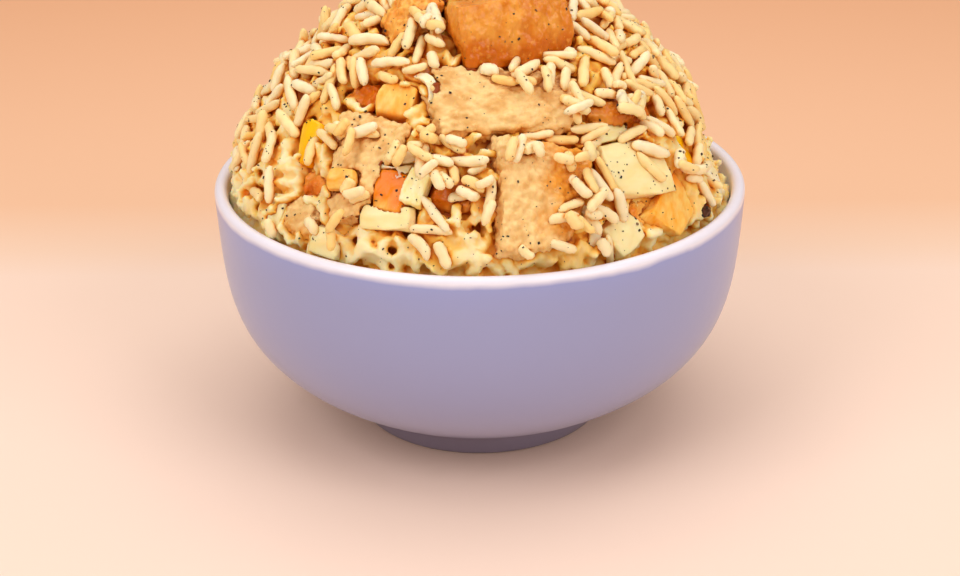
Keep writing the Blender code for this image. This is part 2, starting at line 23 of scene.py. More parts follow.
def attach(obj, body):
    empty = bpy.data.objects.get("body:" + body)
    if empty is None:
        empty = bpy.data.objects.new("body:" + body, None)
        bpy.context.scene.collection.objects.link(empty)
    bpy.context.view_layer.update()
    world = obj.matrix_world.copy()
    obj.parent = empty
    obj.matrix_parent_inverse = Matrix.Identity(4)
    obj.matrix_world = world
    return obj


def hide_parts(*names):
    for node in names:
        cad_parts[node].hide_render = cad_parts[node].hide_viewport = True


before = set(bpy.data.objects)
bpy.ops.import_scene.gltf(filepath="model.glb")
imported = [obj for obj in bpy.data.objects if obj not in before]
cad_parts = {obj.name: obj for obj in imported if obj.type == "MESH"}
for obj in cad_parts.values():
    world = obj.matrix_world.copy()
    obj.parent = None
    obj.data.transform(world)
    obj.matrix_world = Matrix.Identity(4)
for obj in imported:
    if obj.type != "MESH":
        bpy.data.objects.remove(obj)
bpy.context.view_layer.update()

LOG = logging.getLogger("rice_salad")
MM = 0.001
BODY = "root"

# How enclosed each point is, found by casting rays; the finishes paint shade with it, darker and more
# orange in hollows
SHADE_ATTRIBUTE = "sheltered"
TONE = "tone"
STRAND = "strand"
GLAZED = "glazed"
BELOW_RIM = "below_rim"

Colour = tuple[float, float, float, float]


def linear(code: str) -> Colour:
    """Turns an sRGB hex colour into Blender's linear one.

    Args:
        code: Six hex digits after a hash sign.

    Returns:
        Linear red, green, blue and an alpha of 1.
    """
    parts = [int(code[i : i + 2], 16) / 255.0 for i in (1, 3, 5)]
    red, green, blue = (
        part / 12.92 if part <= 0.04045 else ((part + 0.055) / 1.055) ** 2.4 for part in parts
    )
    return red, green, blue, 1.0


def pattern_scale(width: float) -> float:
    """The noise scale that gives blobs of about this width, in the coordinates' own unit."""
    return 0.5 / width


def feed(tree: bpy.types.NodeTree, node: bpy.types.Node, inputs: dict) -> None:
    """Gives a node its inputs.

    Args:
        tree: The material's node tree.
        node: The node.
        inputs: Socket name or number to a value, an sRGB hex colour or the socket that feeds it.
    """
    for name, value in inputs.items():
        if isinstance(value, bpy.types.NodeSocket):
            tree.links.new(value, node.inputs[name])
        else:
            node.inputs[name].default_value = linear(value) if isinstance(value, str) else value


def add_node(
    tree: bpy.types.NodeTree,
    kind: str,
    output: str | int,
    inputs: dict | None = None,
    stops: Sequence[tuple[float, str]] = (),
    **settings,
) -> bpy.types.NodeSocket:
    """Adds one shader node with its settings and links.

    Args:
        tree: The material's node tree.
        kind: The node's type without its ShaderNode prefix.
        output: Name or number of the output that is wanted.
        inputs: What feed() takes.
        stops: Places from 0 to 1 and sRGB hex colours along a colour ramp, lowest first.
        settings: The node's own properties.

    Returns:
        The output.
    """
    node = tree.nodes.new("ShaderNode" + kind)
    for name, value in settings.items():
        setattr(node, name, value)
    feed(tree, node, inputs or {})
    if stops:
        elements = node.color_ramp.elements
        while len(elements) < len(stops):
            elements.new(1.0)
        for element, (place, code) in zip(elements, stops):
            element.position = place
            element.color = linear(code)
    return node.outputs[output]


def deselect_all() -> None:
    """Leaves nothing selected, so that an operator acts on one piece alone."""
    for obj in bpy.context.selected_objects:
        obj.select_set(False)


def make_active(obj: bpy.types.Object) -> None:
    """Selects this object alone and makes it the active one."""
    deselect_all()
    obj.select_set(True)
    bpy.context.view_layer.objects.active = obj


def apply_modifier(obj: bpy.types.Object, kind: str, **settings) -> None:
    """Adds one modifier and applies it.

    Args:
        obj: The piece.
        kind: The modifier's type.
        settings: The modifier's properties.
    """
    make_active(obj)
    modifier = obj.modifiers.new(kind.lower(), kind)
    for name, value in settings.items():
        setattr(modifier, name, value)
    bpy.ops.object.modifier_apply(modifier=modifier.name)


def object_from(name: str, points: np.ndarray, faces: list) -> bpy.types.Object:
    """Makes an object of a mesh given by its points and faces.

    Args:
        name: The object's name.
        points: One row of three numbers a point, in metres.
        faces: Point numbers of each face, in order.

    Returns:
        The object, in the scene.
    """
    mesh = bpy.data.meshes.new(name)
    mesh.from_pydata(points.tolist(), [], faces)
    mesh.update()
    obj = bpy.data.objects.new(name, mesh)
    bpy.context.scene.collection.objects.link(obj)
    return obj


def points_of(obj: bpy.types.Object) -> np.ndarray:
    """The object's points, one row each."""
    values = np.empty(len(obj.data.vertices) * 3)
    obj.data.vertices.foreach_get("co", values)
    return values.reshape(-1, 3)


def normals_of(obj: bpy.types.Object) -> np.ndarray:
    """The normals at the object's points, one row each."""
    values = np.empty(len(obj.data.vertices) * 3)
    obj.data.vertices.foreach_get("normal", values)
    return values.reshape(-1, 3)


def set_attribute(obj: bpy.types.Object, name: str, values: np.ndarray) -> None:
    """Writes one number, or three, for each point of a mesh.

    Args:
        obj: The piece.
        name: The attribute's name.
        values: One number or one row of three a point.
    """
    vector = values.ndim == 2
    kind = "FLOAT_VECTOR" if vector else "FLOAT"
    attribute = obj.data.attributes.get(name) or obj.data.attributes.new(name, kind, "POINT")
    attribute.data.foreach_set("vector" if vector else "value", values.astype(np.float32).ravel())


def smooth_shaded(obj: bpy.types.Object, angle: float = 180.0) -> None:
    """Shades the piece smooth across edges up to an angle in degrees."""
    make_active(obj)
    bpy.ops.object.shade_smooth_by_angle(angle=math.radians(angle))


def finish_piece(
    obj: bpy.types.Object, material: bpy.types.Material, slot: str, *nodes: str
) -> bpy.types.Object:
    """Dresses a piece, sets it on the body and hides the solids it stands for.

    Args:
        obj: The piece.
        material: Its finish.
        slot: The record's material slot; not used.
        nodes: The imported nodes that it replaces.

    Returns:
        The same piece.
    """
    obj.data.materials.clear()
    obj.data.materials.append(material)
    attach(obj, BODY)
    if nodes:
        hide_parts(*nodes)
    LOG.info("%s: %d faces", obj.name, len(obj.data.polygons))
    return obj


def copy_of_node(node: str, name: str) -> bpy.types.Object:
    """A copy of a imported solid, with its loose triangles merged.

    Args:
        node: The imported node.
        name: The copy's name.

    Returns:
        The copy.
    """
    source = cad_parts[node]
    obj = bpy.data.objects.new(name, source.data.copy())
    bpy.context.scene.collection.objects.link(obj)
    make_active(obj)
    bpy.ops.object.mode_set(mode="EDIT")
    bpy.ops.mesh.select_all(action="SELECT")
    bpy.ops.mesh.remove_doubles(threshold=0.002 * MM)
    bpy.ops.object.mode_set(mode="OBJECT")
    return obj


@dataclass(frozen=True)
class Relief:
    """A soft noise that raises and sinks a surface.

    Width is the noise's size in mm, across, across and along its direction. Height is how far the
    surface moves from lowest to highest, in mm. Depth is how many finer layers the noise has.
    """

    width: tuple[float, float, float]
    height: float
    depth: int = 1
    basis: str = "ORIGINAL_PERLIN"


UP = Vector((0.0, 0.0, 1.0))
NOISE_START = np.array((0.31, 0.17, 0.23)) * MM


def roughen(obj: bpy.types.Object, relief: Relief, along: Vector = UP) -> None:
    """Gives a surface its relief, which may be drawn out in one direction.

    Args:
        obj: The piece.
        relief: The relief.
        along: The direction it is drawn out in.
    """
    guide = bpy.data.objects.new("guide", None)
    bpy.context.scene.collection.objects.link(guide)
    guide.rotation_mode = "QUATERNION"
    guide.rotation_quaternion = along.to_track_quat("Z", "Y")
    guide.location = points_of(obj).mean(0) + NOISE_START * len(obj.name)
    guide.scale = [side * MM for side in relief.width]
    bpy.context.view_layer.update()
    texture = bpy.data.textures.new("relief", "CLOUDS")
    texture.noise_basis = relief.basis
    texture.noise_scale = 1.0
    texture.noise_depth = relief.depth
    settings = {"texture": texture, "texture_coords": "OBJECT", "texture_coords_object": guide}
    apply_modifier(obj, "DISPLACE", strength=relief.height * MM, mid_level=0.5, **settings)
    bpy.data.textures.remove(texture)
    bpy.data.objects.remove(guide)


# The heap's outer surface, as the part's source gives it
MOUND_RADIUS = 60.0 * MM
MOUND_RISE = 49.0 * MM
MOUND_POWER = 1.15
MOUND_ROUNDING = 0.535
BOWL_HEIGHT = 62.0 * MM
RIM_RADIUS = 65.0 * MM
RIM_WALL = 3.2 * MM
RIM_RING = 7.5 * MM
TROUGH_BEARING = 14.0
TROUGH_SPREAD = 46.0
TROUGH_TOP = 0.40
TROUGH_FLOOR = 1.5 * MM
TROUGH_STEEP = 1.6


def mound_radius(rise: float) -> float:
    """Radius of the heap's outer surface; rise is 0 at the rim and 1 at the top."""
    share = min(max(rise, 0.0), 1.0)
    return MOUND_RADIUS * (1.0 - share**MOUND_POWER) ** MOUND_ROUNDING


def mound_place(bearing: float, rise: float) -> tuple[Vector, Vector]:
    """A place on the heap's outer surface.

    Args:
        bearing: Degrees from +X towards +Y.
        rise: 0 at the rim and 1 at the top; below 0 it is a place in the ring by the rim, from
            which grains fall straight down.

    Returns:
        The point and the outward normal there.
    """
    if rise < 0.0:
        angle = math.radians(bearing)
        reach = MOUND_RADIUS + RIM_RING * rise
        return Vector((math.cos(angle) * reach, math.sin(angle) * reach, BOWL_HEIGHT)), UP.copy()
    step = 0.01
    low, high = max(rise - step, 0.0), min(rise + step, 1.0)
    run = mound_radius(low) - mound_radius(high)
    climb = (high - low) * MOUND_RISE
    angle = math.radians(bearing)
    outward = Vector((math.cos(angle), math.sin(angle), 0.0))
    point = outward * mound_radius(rise)
    point.z = BOWL_HEIGHT + MOUND_RISE * rise
    normal = outward * climb
    normal.z = run
    return point, normal.normalized()


def slip_at(bearing: float, rise: float) -> float:
    """How much the rice has slipped off the wall here, so that the bowl's white inside shows."""
    away = abs((bearing - TROUGH_BEARING + 180.0) % 360.0 - 180.0)
    share = min(1.0, TROUGH_STEEP * max(0.0, 1.0 - away / TROUGH_SPREAD))
    fade = min(1.0, max(0.0, TROUGH_STEEP - TROUGH_STEEP * rise / TROUGH_TOP))
    return share * share * (3.0 - 2.0 * share) * fade


def inside_mound(point: Vector) -> bool:
    """Whether a point lies within the heap's outer surface."""
    rise = (point.z - BOWL_HEIGHT) / MOUND_RISE
    return rise < 1.0 and math.hypot(point.x, point.y) < mound_radius(rise)


class Studio:
    """The plain floor, the soft lights and the camera, at the photograph's view."""

    ORBIT = 0.5
    PITCH = 24.2
    ROLL = -0.4
    LOOK_HEIGHT = 0.030
    FOCAL_PIXELS = 1975.0
    PHOTO_WIDTH = 960
    PHOTO_HEIGHT = 576
    PHOTO_CENTRE = (480.4, 291.6)
    SENSOR = 36.0
    MARCH_START = 0.36
    MARCH = 0.4 * MM
    MARCH_STEPS = 600
    FLOOR_SIDE = 6.0
    FLOOR_DEPTHS = (0.08, 0.40)
    # Painted shade: the floor's colour deepens and darkens with distance behind the bowl, in place of light
    # falling off
    FLOOR_FALLOFF_TONES = ((0.0, "#FDE2CE"), (0.06, "#FBDABF"), (0.18, "#F9CBA6"), (1.0, "#FBC094"))
    LIGHT_AIM = Vector((0.0, 0.0, 0.06))
    LIGHT_TONE = "#FAFAFF"
    # Each light's name, place and side in metres, and power in watts
    LIGHTS = (
        ("overhead", (0.02, 0.08, 0.80), 0.90, 3.7),
        ("window", (-0.50, -0.45, 0.60), 0.50, 2.5),
        ("fill", (0.50, -0.50, 0.55), 0.50, 2.3),
    )
    DAYLIGHT_TONE = "#FFE4CC"
    DAYLIGHT = 0.41

    def place(self) -> Vector:
        """Where the camera stands."""
        pitch = math.radians(self.PITCH)
        back = Vector((0.0, -math.cos(pitch), math.sin(pitch)))
        return Vector((0.0, 0.0, self.LOOK_HEIGHT)) + back * self.ORBIT

    def turn(self) -> Matrix:
        """Which way the camera looks."""
        tilt = Matrix.Rotation(math.radians(90.0 - self.PITCH), 3, "X")
        return tilt @ Matrix.Rotation(math.radians(self.ROLL), 3, "Z")

    def ray(self, across: float, down: float) -> Vector:
        """The direction of one of the photograph's pixels.

        Args:
            across: Pixels from the left of the 960 by 576 frame.
            down: Pixels from its top.

        Returns:
            A unit vector from the camera.
        """
        middle_x, middle_y = self.PHOTO_CENTRE
        local = Vector((across - middle_x, middle_y - down, -self.FOCAL_PIXELS))
        return (self.turn() @ local).normalized()

    def mound_at(self, across: float, down: float) -> Vector | None:
        """Where a pixel of the photograph meets the heap's outer surface.

        Args:
            across: Pixels from the left.
            down: Pixels from the top.

        Returns:
            The place, or None where the pixel misses the heap.
        """
        way, start = self.ray(across, down), self.place()
        for step in range(self.MARCH_STEPS):
            point = start + way * (self.MARCH_START + step * self.MARCH)
            if point.z > BOWL_HEIGHT and inside_mound(point):
                return point
        return None

    def make_camera(self) -> None:
        """Sets up the scene's camera."""
        data = bpy.data.cameras.new("camera")
        data.sensor_width = self.SENSOR
        data.lens = self.FOCAL_PIXELS * self.SENSOR / self.PHOTO_WIDTH
        data.shift_x = -(self.PHOTO_CENTRE[0] - self.PHOTO_WIDTH / 2) / self.PHOTO_WIDTH
        data.shift_y = (self.PHOTO_CENTRE[1] - self.PHOTO_HEIGHT / 2) / self.PHOTO_WIDTH
        data.clip_start = 0.01
        camera = bpy.data.objects.new("camera", data)
        bpy.context.scene.collection.objects.link(camera)
        camera.matrix_world = Matrix.Translation(self.place()) @ self.turn().to_4x4()
        bpy.context.scene.camera = camera

    def make_floor(self) -> None:
        """Lays the pale floor, with painted shade that makes it deeper and darker in tone far behind the
        bowl.
        """
        deselect_all()
        bpy.ops.mesh.primitive_plane_add(size=self.FLOOR_SIDE, location=(0.0, 0.0, 0.0))
        floor = bpy.context.active_object
        floor.name = "floor"
        material = bpy.data.materials.new("painted_board")
        material.use_nodes = True
        tree = material.node_tree
        shader = tree.nodes["Principled BSDF"]
        place = add_node(tree, "TexCoord", "Object")
        depth = add_node(tree, "SeparateXYZ", "Y", {"Vector": place})
        near, far = self.FLOOR_DEPTHS
        share = add_node(tree, "MapRange", "Result", {"Value": depth, "From Min": near, "From Max": far})
        colour = add_node(tree, "ValToRGB", "Color", {"Fac": share}, self.FLOOR_FALLOFF_TONES)
        feed(tree, shader, {"Base Color": colour, "Roughness": 0.75, "Specular IOR Level": 0.25})
        floor.data.materials.append(material)

    def add_light(self, name: str, place: tuple[float, float, float], size: float, power: float) -> None:
        """Hangs one square soft light that faces the bowl.

        Args:
            name: The light's name.
            place: Where it hangs, in metres.
            size: Its side in metres.
            power: Its power in watts.
        """
        data = bpy.data.lights.new(name, "AREA")
        data.size = size
        data.energy = power
        data.color = linear(self.LIGHT_TONE)[:3]
        light = bpy.data.objects.new(name, data)
        bpy.context.scene.collection.objects.link(light)
        light.location = place
        aim = self.LIGHT_AIM - light.location
        light.rotation_euler = aim.to_track_quat("-Z", "Y").to_euler()

    def make_lights(self) -> None:
        """Lights the bowl softly from above and from both sides of the front, in a warm room."""
        world = bpy.data.worlds.new("daylight")
        world.use_nodes = True
        background = world.node_tree.nodes["Background"]
        background.inputs["Color"].default_value = linear(self.DAYLIGHT_TONE)
        background.inputs["Strength"].default_value = self.DAYLIGHT
        bpy.context.scene.world = world
        for light in self.LIGHTS:
            self.add_light(*light)

    def build(self) -> None:
        """Makes the camera, floor and lights, and keeps colours as they are."""
        self.make_camera()
        self.make_floor()
        self.make_lights()
        bpy.context.scene.view_settings.view_transform = "Standard"


class Finish:
    """A finish, built once and shared by all pieces that have it."""

    name = "finish"
    WET = {"IOR": 1.38, "Specular IOR Level": 0.32, "Coat Roughness": 0.18, "Coat IOR": 1.35}

    def __init__(self) -> None:
        """Starts with no material yet."""
        self.material: bpy.types.Material | None = None

    def get(self) -> bpy.types.Material:
        """The material, made the first time it is asked for."""
        if self.material is None:
            self.material = bpy.data.materials.new(self.name)
            self.material.use_nodes = True
            tree = self.material.node_tree
            self.dress(tree, tree.nodes["Principled BSDF"])
        return self.material

    def dress(self, tree: bpy.types.NodeTree, shader: bpy.types.Node) -> None:
        """Fills the node tree; each finish has its own.

        Args:
            tree: The material's nodes.
            shader: Its Principled shader.
        """
        raise NotImplementedError

    @staticmethod
    def blend(
        tree: bpy.types.NodeTree,
        value: bpy.types.NodeSocket,
        span: tuple[float, float],
        under: bpy.types.NodeSocket | str,
        over: bpy.types.NodeSocket | str,
        most: float = 1.0,
    ) -> bpy.types.NodeSocket:
        """Goes from one colour to another as a value rises.

        Args:
            tree: The material's nodes.
            value: What rises.
            span: Where the second colour starts, and where it has come up fully.
            under: The first colour.
            over: The second colour.
            most: How much of the second colour there is in the end.

        Returns:
            The colour.
        """
        rise = {"Value": value, "From Min": span[0], "From Max": span[1], "To Max": most}
        share = add_node(tree, "MapRange", "Result", rise)
        return add_node(tree, "Mix", 2, {0: share, 6: under, 7: over}, data_type="RGBA")

    @staticmethod
    def face(
        tree: bpy.types.NodeTree,
        shader: bpy.types.Node,
        colour: bpy.types.NodeSocket,
        relief: bpy.types.NodeSocket,
        depth: float,
    ) -> None:
        """Gives the shader its colour and its fine relief.

        Args:
            tree: The material's nodes.
            shader: Its Principled shader.
            colour: The colour.
            relief: The height, from 0 to 1.
            depth: How deep the relief is, in mm.
        """
        bump = {"Height": relief, "Distance": depth * MM, "Strength": 1.0}
        normal = add_node(tree, "Bump", "Normal", bump)
        feed(tree, shader, {"Base Color": colour, "Normal": normal})

    @staticmethod
    def moist(
        tree: bpy.types.NodeTree,
        shader: bpy.types.Node,
        roughness: float,
        glow: float,
        reach: tuple[float, float, float],
        film: float,
    ) -> None:
        """Makes the surface moist food, which light enters a little.

        Args:
            tree: The material's nodes.
            shader: Its Principled shader.
            roughness: Of the surface.
            glow: How much of the light goes in.
            reach: How far its red, green and blue travel, in mm.
            film: How much of a clear wet film lies on it.
        """
        light = {"Subsurface Weight": glow, "Subsurface Radius": reach, "Subsurface Scale": MM}
        feed(tree, shader, {"Roughness": roughness, "Coat Weight": film, **light, **Finish.WET})


class GlazedStoneware(Finish):
    """Stoneware dipped in a pale lilac glaze outside, over white inside and on the rim.

    The white breaks into the lilac in a slightly wavering line just under the rim, where the
    lilac lies thicker and looks bluer. A gloss glaze mirrors the lights softly.
    """

    name = "glazed_stoneware"
    WHITE = "#F2F2FF"
    UNDER_RIM = "#98A4DC"
    LILAC = "#99A2D2"
    LOW = "#989BC2"
    FOOT = "#867C90"
    CLOUD = "#A3A6CC"
    GLOSS = {"Roughness": 0.30, "IOR": 1.5, "Coat Weight": 0.25, "Coat Roughness": 0.12}

    def dress(self, tree: bpy.types.NodeTree, shader: bpy.types.Node) -> None:
        """Paints the two glazes by how far a place is below the rim."""
        place = add_node(tree, "TexCoord", "Object")
        reach = add_node(tree, "Attribute", "Fac", attribute_name=BELOW_RIM)
        scale = pattern_scale(7.0 * MM)
        waver = add_node(tree, "TexNoise", "Fac", {"Vector": place, "Scale": scale, "Detail": 3.0})
        level = add_node(tree, "Math", "Value", {0: waver, 1: 1.6, 2: reach}, operation="MULTIPLY_ADD")
        down = add_node(tree, "MapRange", "Result", {"Value": reach, "From Min": 3.0, "From Max": 78.0})
        stops = [(0.0, self.UNDER_RIM), (0.10, self.LILAC), (0.70, self.LOW), (1.0, self.FOOT)]
        lilac = add_node(tree, "ValToRGB", "Color", {"Fac": down}, stops)
        cloud = add_node(tree, "TexNoise", "Fac", {"Vector": place, "Scale": pattern_scale(11.0 * MM)})
        share = add_node(tree, "Math", "Value", {0: cloud, 1: 0.22}, operation="MULTIPLY")
        lilac = add_node(tree, "Mix", 2, {0: share, 6: lilac, 7: self.CLOUD}, data_type="RGBA")
        colour = self.blend(tree, level, (2.9, 4.3), self.WHITE, lilac)
        ripple = add_node(tree, "TexNoise", "Fac", {"Vector": place, "Scale": pattern_scale(3.0 * MM)})
        self.face(tree, shader, colour, ripple, 0.06)
        feed(tree, shader, self.GLOSS)


class CoatedRice(Finish):
    """Boiled rice under a creamy curry dressing.

    The dressing is pale cream with patches of deeper yellow curry. Painted shade turns it orange
    and then brown in the hollows, by how enclosed a place is. It is satin, with a few wet spots.
    """

    name = "dressed_rice"
    YELLOW = "#FFC64E"
    # Painted shade, from open to most enclosed: cream, yellow, orange, then brown
    SHADE_RAMP = ((0.06, "#FFEFBE"), (0.24, "#FFDE94"), (0.42, "#FFC764"), (0.60, "#FAAC3C"), (0.85, "#C0600F"))

    def dress(self, tree: bpy.types.NodeTree, shader: bpy.types.Node) -> None:
        """Paints shade into the dressing by how enclosed a place is, with patches of more and less curry.
        """
        place = add_node(tree, "TexCoord", "Object")
        occlusion = add_node(tree, "Attribute", "Fac", attribute_name=SHADE_ATTRIBUTE)
        curds = {"Vector": place, "Scale": pattern_scale(1.2 * MM), "Detail": 3.0, "Roughness": 0.6}
        speck = add_node(tree, "TexNoise", "Fac", curds)
        level = add_node(tree, "Math", "Value", {0: speck, 1: 0.16, 2: occlusion}, operation="MULTIPLY_ADD")
        dressed = add_node(tree, "ValToRGB", "Color", {"Fac": level}, self.SHADE_RAMP)
        patch = add_node(tree, "TexNoise", "Fac", {"Vector": place, "Scale": pattern_scale(6.0 * MM)})
        colour = self.blend(tree, patch, (0.48, 0.66), dressed, self.YELLOW, 0.6)
        # Painted shade: where a place is enclosed, the shade ramp covers the curry patches
        colour = self.blend(tree, occlusion, (0.35, 0.8), colour, dressed)
        grit = {"Vector": place, "Scale": pattern_scale(0.5 * MM), "Detail": 3.0, "Roughness": 0.6}
        self.face(tree, shader, colour, add_node(tree, "TexNoise", "Fac", grit), 0.10)
        self.moist(tree, shader, 0.45, 0.5, (2.6, 1.4, 0.5), 0.06)


class BoiledRice(Finish):
    """Boiled long-grain rice with a thin film of dressing.

    Ivory where it is clean, golden where the dressing has dyed it, and slightly glassy: light
    enters a grain and glows at its edges. Painted shade turns it orange and brown where it lies
    among other grains.
    """

    name = "boiled_long_grain_rice"
    CLEAN = ((0.10, "#FFF0C8"), (0.50, "#FFE4A6"), (0.80, "#FFD686"), (1.0, "#FDC868"))
    SHADED = ((0.30, "#FFE2A0"), (0.62, "#FFC266"), (1.0, "#D67C28"))

    def dress(self, tree: bpy.types.NodeTree, shader: bpy.types.Node) -> None:
        """Paints each grain by its own tone, and paints shade on it by how enclosed it is."""
        place = add_node(tree, "TexCoord", "Object")
        tone = add_node(tree, "Attribute", "Fac", attribute_name=TONE)
        occlusion = add_node(tree, "Attribute", "Fac", attribute_name=SHADE_ATTRIBUTE)
        film = add_node(tree, "TexNoise", "Fac", {"Vector": place, "Scale": pattern_scale(2.0 * MM)})
        own = add_node(tree, "Math", "Value", {0: tone, 1: 0.65}, operation="MULTIPLY")
        stain = add_node(tree, "Math", "Value", {0: film, 1: 0.30, 2: own}, operation="MULTIPLY_ADD")
        clean = add_node(tree, "ValToRGB", "Color", {"Fac": stain}, self.CLEAN)
        shade = add_node(tree, "ValToRGB", "Color", {"Fac": occlusion}, self.SHADED)
        colour = self.blend(tree, occlusion, (0.20, 0.80), clean, shade)
        dimple = add_node(tree, "TexNoise", "Fac", {"Vector": place, "Scale": pattern_scale(0.7 * MM)})
        self.face(tree, shader, colour, dimple, 0.05)
        self.moist(tree, shader, 0.36, 0.3, (2.0, 1.3, 0.7), 0.12)


@dataclass(frozen=True)
class MeatTones:
    """The colours of one way of cooked chicken, sRGB hex; hollow also darkens the fibres, and hollow to
    deep is painted shade where a place is enclosed.
    """

    cream: str
    flesh: str
    glaze: str
    hollow: str
    deep: str


class CookedChicken(Finish):
    """Cooked chicken breast under curry dressing.

    Fibres run along it in paler and darker strands. The dressing lies on it in creamy patches,
    and a shiny orange glaze shows on the side where it has run off.
    """

    def __init__(self, name: str, tones: MeatTones, roughness: float, film: float) -> None:
        """Keeps the finish's own colours and gloss.

        Args:
            name: The material's name.
            tones: Its colours.
            roughness: Of the surface.
            film: How much wet film lies on it.
        """
        super().__init__()
        self.name = name
        self.tones = tones
        self.roughness = roughness
        self.film = film

    def dress(self, tree: bpy.types.NodeTree, shader: bpy.types.Node) -> None:
        """Paints strands, dressing, glaze and painted shade in the hollows."""
        tones = self.tones
        place = add_node(tree, "TexCoord", "Object")
        strand = add_node(tree, "Attribute", "Vector", attribute_name=STRAND)
        bare = add_node(tree, "Attribute", "Fac", attribute_name=GLAZED)
        occlusion = add_node(tree, "Attribute", "Fac", attribute_name=SHADE_ATTRIBUTE)
        hairs = {"Vector": strand, "Scale": pattern_scale(0.45), "Detail": 3.0, "Roughness": 0.6}
        fibre = add_node(tree, "TexNoise", "Fac", hairs)
        streak = add_node(tree, "TexNoise", "Fac", {"Vector": strand, "Scale": pattern_scale(1.6)})
        patches = {"Vector": place, "Scale": pattern_scale(3.4 * MM), "Detail": 3.0, "Roughness": 0.55}
        cloud = add_node(tree, "TexNoise", "Fac", patches)
        curds = {"Vector": place, "Scale": pattern_scale(0.8 * MM), "Detail": 3.0, "Roughness": 0.6}
        speck = add_node(tree, "TexNoise", "Fac", curds)
        colour = self.blend(tree, streak, (0.42, 0.60), tones.cream, tones.flesh)
        lean = add_node(tree, "Math", "Value", {0: cloud, 1: 0.9, 2: bare}, operation="MULTIPLY_ADD")
        colour = self.blend(tree, lean, (0.74, 1.00), colour, tones.glaze)
        colour = self.blend(tree, fibre, (0.50, 0.72), colour, tones.hollow, 0.25)
        colour = self.blend(tree, speck, (0.56, 0.68), colour, tones.cream, 0.7)
        # Painted shade: hollow, then deep, where a place is enclosed
        stops = [(0.35, tones.hollow), (1.0, tones.deep)]
        dark = add_node(tree, "ValToRGB", "Color", {"Fac": occlusion}, stops)
        colour = self.blend(tree, occlusion, (0.28, 0.85), colour, dark)
        grain = add_node(tree, "Math", "Value", {0: speck, 1: 0.6, 2: fibre}, operation="MULTIPLY_ADD")
        self.face(tree, shader, colour, grain, 0.22)
        self.moist(tree, shader, self.roughness, 0.22, (1.8, 0.9, 0.4), self.film)


@dataclass(frozen=True)
class FleshTones:
    """The colours of a cut fruit or vegetable, sRGB hex, and its gloss; edge also serves as painted shade
    where the piece is enclosed.
    """

    pale: str
    deep: str
    edge: str
    roughness: float
    glow: float
    film: float
    cell: float


class CutFlesh(Finish):
    """The moist cut flesh of a fruit or vegetable, faintly mottled by its cells and strands."""

    def __init__(self, name: str, tones: FleshTones) -> None:
        """Keeps the finish's own colours and gloss.

        Args:
            name: The material's name.
            tones: Its colours and gloss.
        """
        super().__init__()
        self.name = name
        self.tones = tones

    def dress(self, tree: bpy.types.NodeTree, shader: bpy.types.Node) -> None:
        """Paints the flesh, its strands, its edge colour on one side and painted shade where it is
        enclosed.
        """
        tones = self.tones
        place = add_node(tree, "TexCoord", "Object")
        strand = add_node(tree, "Attribute", "Vector", attribute_name=STRAND)
        bare = add_node(tree, "Attribute", "Fac", attribute_name=GLAZED)
        occlusion = add_node(tree, "Attribute", "Fac", attribute_name=SHADE_ATTRIBUTE)
        line = add_node(tree, "TexNoise", "Fac", {"Vector": strand, "Scale": pattern_scale(tones.cell)})
        colour = self.blend(tree, line, (0.35, 0.70), tones.pale, tones.deep)
        cloud = add_node(tree, "TexNoise", "Fac", {"Vector": place, "Scale": pattern_scale(3.0 * MM)})
        lean = add_node(tree, "Math", "Value", {0: cloud, 1: 0.8, 2: bare}, operation="MULTIPLY_ADD")
        colour = self.blend(tree, lean, (0.75, 1.1), colour, tones.edge)
        # Painted shade in the edge colour where the piece is enclosed
        colour = self.blend(tree, occlusion, (0.35, 0.95), colour, tones.edge, 0.8)
        cells = {"Vector": place, "Scale": pattern_scale(0.6 * MM), "Detail": 3.0}
        self.face(tree, shader, colour, add_node(tree, "TexNoise", "Fac", cells), 0.07)
        self.moist(tree, shader, tones.roughness, tones.glow, (2.2, 1.4, 0.6), tones.film)


class CrackedPepper(Finish):
    """Coarsely ground black pepper: dark brown to black chips, dull, a few of them paler."""

    name = "cracked_black_pepper"
    TONES = ((0.0, "#1B130F"), (0.6, "#33231A"), (0.85, "#5E4630"), (1.0, "#8C7350"))

    def dress(self, tree: bpy.types.NodeTree, shader: bpy.types.Node) -> None:
        """Paints each chip by its own tone."""
        tone = add_node(tree, "Attribute", "Fac", attribute_name=TONE)
        colour = add_node(tree, "ValToRGB", "Color", {"Fac": tone}, self.TONES)
        feed(tree, shader, {"Base Color": colour, "Roughness": 0.7})


class Food(Enum):
    """The finishes of the pieces in the heap, and the record's slot of each."""

    COATED = "chicken_coated"
    GLAZED = "chicken_glazed"
    BROWNED = "chicken_browned"
    APPLE = "apple"
    PINEAPPLE = "pineapple"
    CELERY = "celery"
    ONION = "onion"
    CORN = "sweetcorn"
    RAISIN = "raisin"


